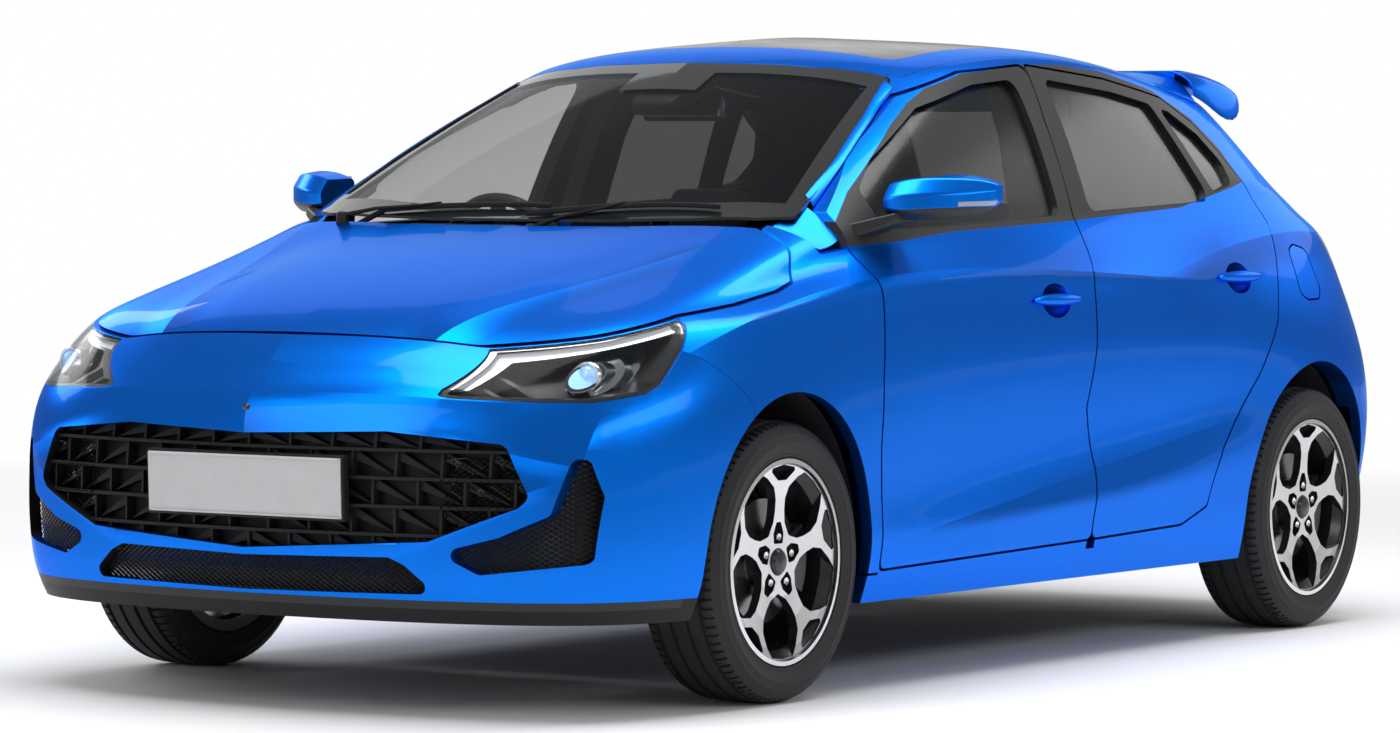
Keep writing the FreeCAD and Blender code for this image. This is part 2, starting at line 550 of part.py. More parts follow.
# Outlines from the end, in (y, z)
TAILGATE = ends([(-20, 690), (430, 695), (480, 715), (522, 800), (548, 905), (575, 1010), (606, 1060),
                 (585, 1130), (548, 1290), (520, 1420), (470, 1470), (-20, 1470)])
REAR_PANE = ends([(-20, 1085), (470, 1092), (520, 1115), (512, 1150), (455, 1320), (420, 1338), (-20, 1342)])
GRILLE = ends([(-20, 600), (345, 612), (600, 590), (614, 580), (662, 477), (640, 455), (450, 380), (-20, 352)])
SIDE_INTAKE = ends([(470, 357), (600, 392), (700, 440), (735, 560), (762, 560), (785, 480), (768, 338),
                    (560, 312)])
LOW_GRILLE = ends([(-20, 338), (360, 345), (395, 330), (470, 268), (-20, 262)])

# Outlines from the side, in (x, z)
LAMP = drawn([(1950, 684), (1935, 702), (1836, 786), (1700, 810), (1499, 852), (1560, 790), (1657, 713),
              (1700, 695), (1807, 678), (1869, 678)])
TAIL_LAMP = drawn([(-1646, 1023), (-1685, 944), (-1809, 881), (-2000, 860), (-2000, 1012), (-1847, 1010)])
REAR_BUMPER = drawn([(-1560, 480), (-1640, 560), (-1700, 720), (-1809, 862), (-2200, 862), (-2200, 100),
                     (-1700, 100), (-1560, 200)])
FRONT_BUMPER = drawn([(1499, 857), (1591, 791), (1527, 768), (1433, 708), (1384, 664), (1384, 100),
                      (2200, 100), (2200, 812), (1880, 812), (1836, 791), (1700, 815)])
WING = drawn([(1499, 857), (1591, 791), (1527, 768), (1433, 708), (1384, 664), (1384, 100), (829, 100),
              (829, 272), (827, 349), (832, 411), (848, 547), (845, 710), (825, 824), (808, 928),
              (821, 999), (926, 985), (952, 1062), (1300, 1062)])
BONNET_ABOVE = drawn([(1880, 812), (1836, 791), (1700, 815), (1499, 857), (1310, 879), (1150, 905),
                      (1075, 925), (1011, 995), (985, 1030), (952, 1062), (952, 1700), (2300, 1700),
                      (2300, 812)])
FUEL_FLAP = drawn([(-1300, 862), (-1302, 985), (-1345, 1000), (-1425, 990), (-1448, 880), (-1420, 850),
                   (-1340, 846)])
LAMP_BAR = drawn([(1925, 701), (1836, 778), (1700, 802), (1518, 840), (1535, 822), (1700, 786), (1830, 758),
                  (1905, 700)])
LAMP_BLADES = [(1880, 684), (1850, 686), (1900, 684)]
LENS = 4.0
LAMP_FLOOR = 55.0           # depth of a headlamp's bowl below the skin

# Upper grille: heights of its edges and bars, and how far its pieces lie inside the skin
GRILLE_LEVELS = [340, 392, 452, 512, 572, 612]
BAR = 7.0
FIN_PITCH = 104.0
GRILLE_BAR_DEPTH = 12.0
GRILLE_FIN_DEPTH = 19.0
GRILLE_BLADE_DEPTH = 27.0
GRILLE_BACK = 48.0

# Door handles: middle in (x, z)
FRONT_HANDLE = (station(24.0), up(871.0))
REAR_HANDLE = (station(-940.0), up(915.0))
FRONT_FREE_FROM = 850.0     # behind its hinge, where a door's tool begins to narrow inwards
REAR_FREE_FROM = 300.0
MIRROR_ARM = [(735, [(690, 1012), (800, 1006), (790, 1048), (690, 1058)]),
              (832, [(610, 1062), (720, 1052), (712, 1078), (610, 1088)])]
ARM_CORNER = 9.0
# Mirror shell, from the door outwards: place across the car, corner radius and outline in (x, z)
MIRROR_SHELL = [
    (798, 15, [(560, 1078), (668, 1066), (700, 1082), (704, 1112), (676, 1144), (566, 1148)]),
    (850, 15, [(545, 1070), (662, 1062), (694, 1080), (694, 1118), (660, 1156), (552, 1162)]),
    (915, 15, [(528, 1072), (622, 1066), (650, 1084), (648, 1122), (616, 1158), (534, 1167)]),
    (968, 15, [(514, 1082), (566, 1078), (588, 1092), (588, 1126), (562, 1154), (518, 1160)]),
    (999, 4, [(507, 1108), (528, 1106), (538, 1114), (538, 1130), (528, 1142), (508, 1144)])]
HANDLE_PROUD = 5.0
HANDLE = (114.0, 18.0, 15.0)    # half length, half thickness and half height
SCOOP = (70.0, 27.0, 43.0)
FLAP_GAP = 5.5
FLAP_DEPTH = 22.0
FLAP_LEAN = 0.339           # rise of the flap's tool for each millimetre outwards, square to the haunch
FLAP_Y = side(838.0)

# Posts behind the doors: outlines from the end in (y, z), and from the side in (x, z)
CENTRE_POST = ends([(715, 240), (768, 240), (768, 930), (690, 1062), (634, 1270), (575, 1405), (560, 1424),
                    (515, 1424), (585, 1260), (640, 1050), (715, 900)])
CENTRE_GAP = drawn([(-183, 269), (-184, 383), (-192, 461), (-145, 611), (-180, 757), (-194, 903), (-219, 982),
                    (-232, 1069), (-260, 1300), (-290, 1431), (-250, 1431), (-220, 1300), (-192, 1069),
                    (-179, 982), (-154, 903), (-140, 757), (-105, 611), (-152, 461), (-144, 383), (-143, 269)])
CENTRE_POST_SIDE = drawn([(-230, 200), (-90, 200), (-120, 700), (-165, 1070), (-230, 1480), (-340, 1480),
                          (-295, 1070), (-270, 700)])
HINGE_POST = ends([(715, 230), (780, 230), (780, 800), (700, 930), (662, 1000), (620, 1000), (640, 900),
                   (715, 800)])
HINGE_HEAD = ends([(615, 940), (655, 940), (655, 1040), (672, 1066), (615, 1066)])

# Wheels: outlines seen from outside, in (across, up), for the arm that points straight up
ARMS = 5
ARM_BISECTOR = 90.0 - 180.0 / ARMS
ARM_EDGE = [(41, 57), (23, 87), (19, 112), (19, 140), (31, 166), (62, 186), (88, 195)]
RIM_MIDDLE = (126, 173)
FORK_WINDOW = [(-58, 206), (0, 215), (58, 206), (17, 180), (-17, 180)]
NUT_POCKET = [(-9, 88), (9, 88), (21, 62), (18, 40), (-18, 40), (-21, 62)]
BEAD_TOP = 230.0            # radius where the tyre leaves the rim's flange
BEAD_Y = 88.0
CORNERS = {"front_left": (FRONT_AXLE, 1), "front_right": (FRONT_AXLE, -1),
           "rear_left": (REAR_AXLE, 1), "rear_right": (REAR_AXLE, -1)}

HALF_GAP = SHUT_GAP / 2
SILL_TOP = up(262)
SILL_BOTTOM = up(200)
FLOOR_HALF = 735.0
SPLITTER_TOP = up(254)

# Floor: heights, half widths and places along the car
FLOOR_LOW = 205.0
FLOOR_TOP = 225.0
FLOOR_FRONT = 853.0
TOE_REAR = 800.0
SHEET = 20.0
HEEL = 20.0
HEEL_HALF = 590.0
BOOT_FRONT = station(-980.0)
BOOT_REAR = station(-1960.0)
BOOT_HALF = 560.0
BOOT_TOP = 350.0
DASH_WALL = (station(930.0), station(945.0))
DASH_WALL_HALF = 480.0
SHELF_LOW = 720.0
SHELF_HALF = 690.0
RAIL = (station(900.0), station(1780.0))
RAIL_Y = 450.0
# Wheel arch liners: axle, arch, inner and outer face; a gate in the inner face lets the axle through
LINERS = [(FRONT_AXLE, FRONT_ARCH, 484, 825), (REAR_AXLE, REAR_ARCH, 560, 785)]
GATE_HALF = 240.0
GATE_TOP = 480.0

# Running gear
STUB_FROM = 690.0           # inner end of a front stub axle
STUB_REACH = 58.0           # outer end of a stub, outside the wheel's middle
CARRIER_REACH = 5.0
CARRIER_RADIUS = 42.0
BALL_HIGH = TYRE_RADIUS + BALL_DROP
BALL_LOW = TYRE_RADIUS - BALL_DROP
EYE_RADIUS = 24.0
EYE_HALF = 12.0
ARM_FROM = 400.0
STRUT_TOP = V(FRONT_AXLE, 575, 692)
STRUT_FOOT = V(FRONT_AXLE, 612, BALL_HIGH - EYE_HALF)
SPRING = (V(FRONT_AXLE, 603, 520), V(FRONT_AXLE, 578, 672))
SPRING_RADIUS = 36.0
CROSS_HALF = (60.0, 465.0, 20.0)
PAD_Y = 440.0
BEAM = (60.0, 150.0, 640.0, 215.0, 290.0)       # ahead of the axle from and to, half width, low and high
TRAIL_Y = (570.0, 640.0)
TRAIL_Z = (235.0, 300.0)
REAR_CARRIER = (580.0, 40.0)                    # inner end and radius
ENGINE = (-180.0, 250.0, 330.0, 230.0, 720.0)   # ahead of the axle from and to, half width, low and high
MOUNTS = (120.0, 200.0, 420.0, 240.0, 285.0)
PIPE_Y = -60.0
PIPE_Z = 165.0
PIPE_RADIUS = 25.0
PIPE_ENDS = (900.0, -1350.0)
SILENCER_X = -1560.0
SILENCER_HALF = 330.0
SILENCER_RADIUS = 80.0

# Cabin: outlines from the side in (x, z)
DASH = [(925, 640), (925, 985), (800, 1010), (640, 985), (590, 930), (600, 860), (700, 780), (760, 640)]
DASH_HALF = 608.0
STEER_AT = V(500, -370, 944)
STEER_TILT = math.degrees(math.atan2(120, 55))  # of the steering wheel's axis from upright
COLUMN = (V(640, -370, 879.8), V(515.9, -370, 936.7))
SEAT_Y = 370.0
SEAT_FOOT = FLOOR_TOP + SEAT_GAP
FRONT_CUSHION = [(250, SEAT_FOOT), (250, 430), (-180, 400), (-200, 330), (-200, SEAT_FOOT)]
FRONT_BACK = [(-150, 380), (-240, 380), (-400, 960), (-310, 975)]
HEADREST = [(-345, 960), (-395, 960), (-430, 1140), (-350, 1150)]
REAR_CUSHION = [(-560, SEAT_FOOT), (-560, 430), (-960, 400), (-975, 340), (-975, SEAT_FOOT)]
REAR_BACK = [(-900, 380), (-975, 380), (-1180, 960), (-1090, 965)]
BENCH_HALF = 560.0


def end_prism(outline, near, far):
    """Prism along the car from an outline in (y, z) with sharp corners."""
    wire = Part.makePolygon([V(near, y, z) for y, z in outline + outline[:1]])
    return Part.Face(wire).extrude(V(far - near, 0, 0))


def bonnet_tool(grow):
    from_side = side_tool(grown(BONNET_ABOVE, grow), -10, 1100, 20)
    return from_side.common(plan_tool(grown(BONNET_REAR, grow)))


def tail_tool(outline, grow, radius=30.0):
    return end_tool(grown(outline, grow), station(-2300), station(-1150), radius)


def nose_tool(outline, grow, radius=20.0):
    return end_tool(grown(outline, grow), station(1550), station(2300), radius)


def front_hole():
    return tapered(grown(FRONT_DOOR, HALF_GAP), HINGE_FRONT, FRONT_FREE_FROM)


def rear_hole():
    return tapered(grown(REAR_DOOR, HALF_GAP), HINGE_REAR, REAR_FREE_FROM)


def rim(outline, reach, near, far):
    """Frame seated behind the bumper round an opening."""
    whole = layer(far, near).common(nose_tool(outline, reach))
    return whole.cut(nose_tool(outline, 0))


def grille_prism(points):
    return end_prism(ends(points), station(1650), station(2200))


def make_grille():
    """Upper grille: level bars, upright fins between them and a long pointed blade beside each fin."""
    bars, fins, blades = [], [], []
    for z in GRILLE_LEVELS[1:-1]:
        low, high = z - BAR / 2, z + BAR / 2
        bars.append(grille_prism([(-10, low), (-10, high), (700, high), (700, low)]))
    for row, (low, high) in enumerate(zip(GRILLE_LEVELS, GRILLE_LEVELS[1:])):
        for k in range(7):
            y = (k + 0.5 * (row % 2)) * FIN_PITCH
            fins.append(grille_prism([(y - 3, low), (y + 3, low), (y + 3, high), (y - 3, high)]))
            blades.append(grille_prism([(y, high), (y + FIN_PITCH * 0.95, low + 4), (y, high - 22)]))
    opening = nose_tool(GRILLE, -1.0)
    pattern = []
    for tools, depth in ((bars, GRILLE_BAR_DEPTH), (fins, GRILLE_FIN_DEPTH), (blades, GRILLE_BLADE_DEPTH)):
        pattern.append(tools[0].fuse(tools[1:]).common(opening).common(inside(depth)))
    front = pattern[0].fuse(pattern[1:]).cut(inside(GRILLE_BACK + 2.0))
    back = layer(GRILLE_BACK + 6.0, GRILLE_BACK).common(nose_tool(GRILLE, 12.0))
    edge = rim(GRILLE, 12.0, PANEL + SEAT_GAP, GRILLE_BACK + 2.0)
    return both(tidy(back.fuse([edge, front])))


def make_lamp(tools):
    """Left headlamp: a bowl behind the lens with a light bar along its upper edge and a projector."""
    seat = LENS + SEAT_GAP
    bowl = layer(LAMP_DEPTH, seat).common(side_tool(LAMP, 420, 1000, 8)).cut(tools["bonnet"])
    hollow = layer(LAMP_FLOOR, seat - 1.0).common(side_tool(grown(LAMP, -7.0), 415, 1005, 6))
    bowl = bowl.cut(hollow)
    bar = layer(LAMP_FLOOR + 2.0, 14.0).common(side_tool(LAMP_BAR, 420, 1000, 3))
    barrel = rod(V(station(1650), side(700), up(729)), V(station(1830), side(706), up(729)), 32)
    shroud = rod(V(station(1650), side(700), up(729)), V(station(1830), side(706), up(729)), 44)
    barrel = barrel.common(layer(LAMP_FLOOR + 2.0, 14.0))
    shroud = shroud.common(layer(LAMP_FLOOR + 2.0, 34.0))
    blades = []
    for x, z in LAMP_BLADES:
        blade = box(station(x) - 3, station(x) + 3, 420, 1000, up(z), up(z) + 40)
        blades.append(blade.common(hollow).common(layer(LAMP_FLOOR + 2.0, 26.0)))
    inner = bar.fuse([barrel, shroud] + blades).common(side_tool(grown(LAMP, -3.0), 420, 1000, 6))
    return tidy(bowl.fuse(inner.cut(tools["bonnet"])))


def build_front(tools):
    panel = layer(PANEL)
    bonnet = tidy(panel.common(bonnet_tool(-HALF_GAP)))
    save("bonnet", both(bonnet))

    lens = tidy(layer(LENS).common(side_tool(LAMP, 420, 1000, 8)).cut(tools["bonnet"]))
    save("headlamp_lenses", lens, mirrored(lens))
    lamp = make_lamp(tools)
    save("headlamps", lamp, mirrored(lamp))

    bumper = panel.common(side_tool(FRONT_BUMPER, -10, 1100, 5))
    bumper = bumper.cut(box(-3000, 3000, -10, 1000, 0, SPLITTER_TOP + SEAT_GAP))
    for name in ("bonnet", "lamp", "front_arch", "front_liner"):
        bumper = bumper.cut(tools[name])
    for outline in (GRILLE, SIDE_INTAKE, LOW_GRILLE):
        bumper = bumper.cut(nose_tool(outline, 0))
    stop = inside(PANEL - 6).cut(inside(SIDE)).common(box(1800, 1960, -10, 240, up(760), up(795)))
    seat = inside(PANEL + SEAT_GAP).cut(inside(SIDE)).common(box(1800, 1960, -10, 240, up(760), up(830)))
    save("front_bumper", both(tidy(bumper.fuse([stop, seat]))))

    grille = make_grille()
    mesh = layer(PANEL + SEAT_GAP + 8.0, PANEL + SEAT_GAP)
    low = both(tidy(mesh.common(nose_tool(LOW_GRILLE, 8.0)).cut(nose_tool(GRILLE, 14.0))))
    intake = tidy(mesh.common(nose_tool(SIDE_INTAKE, 10.0)).cut(nose_tool(GRILLE, 14.0))
                  .cut(nose_tool(LOW_GRILLE, 10.0)))
    save("grilles", grille, low, intake, mirrored(intake))

    splitter = layer(SIDE).common(box(station(1480), 3000, -10, 1000, up(205), SPLITTER_TOP))
    splitter = splitter.cut(tools["front_arch"]).cut(tools["front_liner"])
    save("splitter", both(tidy(splitter)))

    wing = panel.common(side_tool(grown(WING, -1.0), 250, 1100, 4))
    for name in ("bonnet", "lamp", "front_arch", "front_door"):
        wing = wing.cut(tools[name])
    wing = wing.cut(box(station(880), station(1060), 0, 640.8, 900, 1200))
    wing = wing.cut(plan_tool(grown(SCREEN, 2.0), 900, 1700, 25))
    wing = tidy(wing.cut(box(station(700), station(1300), 200, 1000, 0, SILL_TOP + 6.0)))
    save("front_wings", wing, mirrored(wing))


def make_mirror():
    """Left door mirror: a lofted shell on a short arm that stands on the door below its glass."""
    ends_of_arm = []
    for y, outline in MIRROR_ARM:
        ends_of_arm.append(rounded(outline, ARM_CORNER, lambda a, b, y=y: V(a, y, b)))
    arm = Part.makeLoft(ends_of_arm, True, True)
    rings = []
    for y, radius, outline in MIRROR_SHELL:
        rings.append(rounded(outline, radius, lambda a, b, y=y: V(a, y, b)))
    shell = Part.makeLoft(rings, True, False)
    return tidy(shell.fuse(arm.cut(SKIN)))


def build_doors():
    front_door = make_door(FRONT_DOOR, HINGE_FRONT, FRONT_FREE_FROM, [FRONT_WINDOW])
    front_door = with_handle(front_door, FRONT_HANDLE)
    rear_door = make_door(REAR_DOOR, HINGE_REAR, REAR_FREE_FROM, [REAR_WINDOW, QUARTER_WINDOW])
    rear_door = with_handle(rear_door, REAR_HANDLE)
    front_glass = make_glass(FRONT_WINDOW)
    rear_glass = [make_glass(REAR_WINDOW), make_glass(QUARTER_WINDOW)]
    save("front_door_left", front_door)
    save("front_door_right", mirrored(front_door))
    save("rear_door_left", rear_door)
    save("rear_door_right", mirrored(rear_door))
    save("front_door_glass_left", front_glass)
    save("front_door_glass_right", mirrored(front_glass))
    save("rear_door_glass_left", *rear_glass)
    save("rear_door_glass_right", *[mirrored(pane) for pane in rear_glass])
    mirror = make_mirror()
    save("mirror_left", mirror)
    save("mirror_right", mirrored(mirror))


def make_spoiler():
    """Blade that carries the roof's line on over the rear glass."""
    blade = side_tool(drawn(SPOILER), -10, 520, 4)
    shape = plan_tool(SPOILER_PLAN, 1200, 1700, 40)
    return blade.common(shape)


def build_glass_and_roof():
    save("windscreen", both(tidy(layer(6.0).common(plan_tool(grown(SCREEN, -2.0), 900, 1700, 25)))))
    roof = layer(PANEL).common(plan_tool(grown(ROOF, -1.0), 1200, 1700, 20))
    roof = roof.cut(plan_tool(grown(SCREEN, 1.0), 900, 1700, 25)).cut(plan_tool(SUNROOF, 1200, 1700, 40))
    save("roof", both(tidy(roof)))
    save("roof_glass", both(tidy(layer(6.0).common(plan_tool(grown(SUNROOF, -SEAT_GAP), 1200, 1700, 40)))))
    gate = layer(PANEL).common(tail_tool(TAILGATE, -HALF_GAP - 1.5)).cut(tail_tool(REAR_PANE, 0))
    gate = tidy(gate).fuse(make_spoiler())
    gate = gate.cut(plan_tool(grown(ROOF, SHUT_GAP), 1200, 1700, 20))
    save("tailgate", both(tidy(gate)))
    pane = inside(4.0).cut(inside(9.0)).common(tail_tool(REAR_PANE, -SEAT_GAP))
    save("tailgate_glass", both(tidy(pane)))
    cowl = layer(COWL_DEPTH + 26.0, COWL_DEPTH).common(plan_tool(COWL, 900, 1200, 5))
    foot = box(station(932), station(944), -10, 300, SHELF_TOP + SEAT_GAP, SHELF_TOP + 45)
    save("cowl", both(tidy(cowl.fuse(foot))))


def flap_tool(outline):
    """Prism square to the haunch from an outline in (x, z) where it meets the skin."""
    inner = FLAP_Y - 140
    wire = rounded(outline, 30, lambda a, b: V(a, inner, b - FLAP_LEAN * 140))
    return Part.Face(wire).extrude(V(0, 300, 300 * FLAP_LEAN))


def build_side(tools):
    shell = layer(SIDE)
    cuts = [tools[n] for n in ("front_door", "rear_door", "tailgate", "rear_arch", "front_arch", "bonnet")]
    cuts += [plan_tool(grown(SCREEN, 1.0), 900, 1700, 25), plan_tool(ROOF, 1200, 1700, 20),
             side_tool(REAR_BUMPER, -10, 1100, 4), side_tool(WING, 250, 1100, 4), tools["tail_lamp"],
             tools["rear_liner"], side_tool(CENTRE_GAP, 400, 1100, 2),
             box(station(958), 3000, -10, 1100, 0, 2000),
             box(station(-900), station(990), 700, 1000, 0, SILL_TOP),
             box(-3000, 3000, -10, 1100, 0, SILL_BOTTOM)]
    shell = carved(shell, cuts)
    sill = SKIN.common(box(station(-985), station(905), FLOOR_HALF + SEAT_GAP, 1000, SILL_BOTTOM, SILL_TOP))
    sill = sill.cut(tools["front_liner"]).cut(tools["rear_liner"])
    sill = sill.cut(tools["rear_arch"]).cut(tools["front_arch"])
    centre_post = end_prism(CENTRE_POST, station(-330), station(-80)).common(
        side_tool(CENTRE_POST_SIDE, 400, 1000, 4))
    hinge_post = end_prism(HINGE_POST, station(782), station(850))
    hinge_head = end_prism(HINGE_HEAD, station(828), station(905))
    hinge_head = hinge_head.cut(plan_tool(grown(SCREEN, 1.0), 900, 1700, 25))
    whole = tidy(shell.fuse([sill, centre_post, hinge_post, hinge_head]))
    pocket = layer(FLAP_DEPTH + 12.0).common(flap_tool(grown(FUEL_FLAP, FLAP_GAP)))
    flap = tidy(layer(FLAP_DEPTH).common(flap_tool(FUEL_FLAP)))
    save("body_side_left", tidy(whole.cut(pocket)))
    save("body_side_right", mirrored(whole))
    save("fuel_flap", flap)

    tail = layer(PANEL).common(side_tool(TAIL_LAMP, 400, 1000, 8)).cut(tools["tailgate"])
    save("tail_lamps", tidy(tail), mirrored(tidy(tail)))
    bumper = layer(PANEL).common(side_tool(grown(REAR_BUMPER, -1.0), -10, 1100, 4))
    for name in ("rear_arch", "rear_liner", "tailgate", "tail_lamp"):
        bumper = bumper.cut(tools[name])
    stop = inside(PANEL - 6).cut(inside(SIDE)).common(box(-2100, -1850, -10, 60, up(630), up(680)))
    seat = inside(PANEL + SEAT_GAP).cut(inside(SIDE)).common(box(-2100, -1850, -10, 60, up(630), up(725)))
    save("rear_bumper", both(tidy(bumper.fuse([stop, seat]))))


def build_floor():
    plate = box(BOOT_FRONT - HEEL, FLOOR_FRONT, -FLOOR_HALF, FLOOR_HALF, FLOOR_LOW, FLOOR_TOP)
    toe_board = box(TOE_REAR, DASH_WALL[1], -DASH_WALL_HALF, DASH_WALL_HALF, FLOOR_LOW, FLOOR_TOP)
    boot = box(BOOT_REAR, BOOT_FRONT, -BOOT_HALF, BOOT_HALF, BOOT_TOP - SHEET, BOOT_TOP)
    heel = box(BOOT_FRONT - HEEL, BOOT_FRONT, -HEEL_HALF, HEEL_HALF, FLOOR_LOW + 10, BOOT_TOP)
    dash_wall = box(*DASH_WALL, -DASH_WALL_HALF, DASH_WALL_HALF, FLOOR_LOW, SHELF_TOP)
    shelf = box(*DASH_WALL, -SHELF_HALF, SHELF_HALF, SHELF_LOW, SHELF_TOP)
    pieces = [boot, heel, dash_wall, shelf, toe_board]
    for axle, arch, near, far in LINERS:
        outer = arch_tool(axle, arch, LINER_GAP + LINER, near, far)
        inner = arch_tool(axle, arch, LINER_GAP, near + LINER, far + 1)
        liner = outer.cut(inner).common(box(-3000, 3000, 0, 1000, FLOOR_LOW + 10, 1000))
        axle_gate = box(axle - GATE_HALF, axle + GATE_HALF, near - 5, near + LINER + 5, 0, GATE_TOP)
        liner = liner.cut(axle_gate)
        pieces += [liner, mirrored(liner)]
    rail = box(*RAIL, RAIL_Y - 30, RAIL_Y + 30, FLOOR_TOP, FLOOR_TOP + 65)
    return plate.fuse(pieces + [rail, mirrored(rail)])


def spun(points, degrees):
    """An outline turned about its origin."""
    c, s = math.cos(math.radians(degrees)), math.sin(math.radians(degrees))
    return [(a * c - b * s, a * s + b * c) for a, b in points]


def reflected(points, degrees):
    """An outline mirrored about the line through its origin at an angle."""
    c, s = math.cos(math.radians(2 * degrees)), math.sin(math.radians(2 * degrees))
    return [(a * c + b * s, a * s - b * c) for a, b in points]


def wheel_prism(outline, near, far, radius):
    """Prism along the axle from an outline seen from outside the car, in (across, up)."""
    wire = rounded(outline, radius, lambda a, b: V(a, near, b))
    return Part.Face(wire).extrude(V(0, far - near, 0))


def revolve_y(wire):
    """Solid of revolution about the axle from a closed wire in its (y, z) plane."""
    return Part.makeSolid(Part.Face(wire).revolve(V(0, 0, 0), Y, 360))


def ring(profile):
    """Solid of revolution about the axle from a (radius, y) outline."""
    return revolve_y(Part.makePolygon([V(0, y, r) for r, y in profile + profile[:1]]))


def smooth_curve(profile):
    curve = Part.BSplineCurve()
    curve.interpolate([V(0, y, r) for r, y in profile])
    return curve.toShape()


def make_tyre():
    """Tyre with bulging side walls, a rounded shoulder and a slightly crowned tread."""
    half = TYRE_WIDTH / 2
    wall = [(BEAD_TOP, BEAD_Y), (TYRE_RADIUS - 68, half - 5), (TYRE_RADIUS - 50, half),
            (TYRE_RADIUS - 31, half - 2), (TYRE_RADIUS - 15, half - 9), (TYRE_RADIUS - 6, half - 20),
            (TYRE_RADIUS - 1.5, half - 42), (TYRE_RADIUS, 0)]
    outside = wall + [(r, -y) for r, y in wall[-2::-1]]
    bead = RIM_RADIUS + SEAT_GAP
    inside_wall = [(bead, -BEAD_Y), (bead, 14 - BEAD_Y), (244, 4 - BEAD_Y), (280, 6 - BEAD_Y), (298, -54)]
    other_wall = [(r, -y) for r, y in inside_wall[::-1]]
    inner = [(BEAD_TOP, -BEAD_Y)] + inside_wall + other_wall + [(BEAD_TOP, BEAD_Y)]
    wire = Part.Wire([smooth_curve(outside), *Part.makePolygon([V(0, y, r) for r, y in inner]).Edges])
    return revolve_y(wire)


def make_wheel():
    """Alloy wheel with five forked arms, its brake disc and hub."""
    flange = BEAD_Y + SEAT_GAP
    barrel = [(RIM_RADIUS - 20, 62), (RIM_RADIUS - 20, -60), (RIM_RADIUS - 12, -78), (RIM_RADIUS - 12, -flange - 5),
              (BEAD_TOP - 1, -flange - 5), (BEAD_TOP - 1, -flange), (RIM_RADIUS, -flange), (RIM_RADIUS, -70),
              (RIM_RADIUS - 10, -56), (RIM_RADIUS - 10, 56), (RIM_RADIUS, 70), (RIM_RADIUS, flange),
              (BEAD_TOP - 1, flange), (BEAD_TOP - 2, flange + 5), (RIM_RADIUS + 2, flange + 6),
              (RIM_RADIUS - 1, 84)]
    disc = [(STUB_RADIUS + RUN_GAP, 10), (DISC_RADIUS, 10), (DISC_RADIUS, 30), (72, 32), (72, 56),
            (STUB_RADIUS + RUN_GAP, 56)]
    face = ring([(0, 60), (STUB_RADIUS + 2, 60), (STUB_RADIUS + 2, 44), (80, 52), (160, 57), (RIM_RADIUS - 4, 62),
                 (RIM_RADIUS - 1, 86), (196, 83), (140, 77), (80, 73), (0, 72)])
    edge = ARM_EDGE + [RIM_MIDDLE]
    gap = edge + reflected(ARM_EDGE[::-1], ARM_BISECTOR)[:-1]
    for arm in range(ARMS):
        turn = arm * 360 / ARMS
        face = face.cut(wheel_prism(spun(gap, turn), 30, 110, 9))
        face = face.cut(wheel_prism(spun(FORK_WINDOW, turn), 30, 110, 6))
        face = face.cut(wheel_prism(spun(NUT_POCKET, turn), 58, 110, 5))
    cap = ring([(0, 60), (29, 60), (29, 75), (24, 80), (0, 83)])
    return tidy(ring(barrel).fuse([ring(disc), face, cap]))


def make_caliper():
    """Brake caliper behind the axle, reaching over the disc, with its arm in to the hub carrier."""
    shoe = [(92, -10), (162, -10), (162, 45), (92, 45), (92, 36), (DISC_RADIUS + 6, 36), (DISC_RADIUS + 6, 4),
            (92, 4)]
    arm = [(30, -22), (162, -22), (162, -9), (30, -9)]
    pieces = []
    for profile, start, sweep in ((shoe, 62, 56), (arm, 66, 48)):
        wire = Part.makePolygon([V(0, y, r) for r, y in profile + profile[:1]])
        part = Part.Face(wire).revolve(V(0, 0, 0), Y, sweep)
        part.rotate(V(0, 0, 0), Y, -(start + sweep))
        pieces.append(Part.makeSolid(part))
    return pieces[0].fuse(pieces[1])


def build_wheels():
    tyre, wheel = make_tyre(), make_wheel()
    for corner, (axle, sign) in CORNERS.items():
        for name, shape in (("tyre_", tyre), ("wheel_", wheel)):
            placed = shape.translated(V(axle, WHEEL_Y, TYRE_RADIUS))
            save(name + corner, placed if sign > 0 else mirrored(placed))


def front_rod(y0, z0, y1, z1, radius):
    """Rod in the front axle's plane."""
    return rod(V(FRONT_AXLE, y0, z0), V(FRONT_AXLE, y1, z1), radius)


def make_knuckle():
    """Left hub carrier with its stub axle, kingpins, steering arm and brake caliper."""
    stub = front_rod(STUB_FROM, TYRE_RADIUS, WHEEL_Y + STUB_REACH, TYRE_RADIUS, STUB_RADIUS)
    carrier = front_rod(STUB_FROM, TYRE_RADIUS, WHEEL_Y + CARRIER_REACH, TYRE_RADIUS, CARRIER_RADIUS)
    upright = box(FRONT_AXLE - 26, FRONT_AXLE + 26, KINGPIN_Y - 22, KINGPIN_Y + 22,
                  BALL_LOW + 20, BALL_HIGH - 20)
    pins = front_rod(KINGPIN_Y, BALL_LOW - EYE_HALF, KINGPIN_Y, BALL_HIGH + EYE_HALF, KINGPIN_RADIUS)
    arm = rod(V(FRONT_AXLE - 10, 700, TYRE_RADIUS + 10), V(FRONT_AXLE - 120, 690, TYRE_RADIUS + 10), 12)
    caliper = make_caliper().translated(V(FRONT_AXLE, WHEEL_Y, TYRE_RADIUS))
    return tidy(carrier.fuse([stub, upright, pins, arm, caliper]))


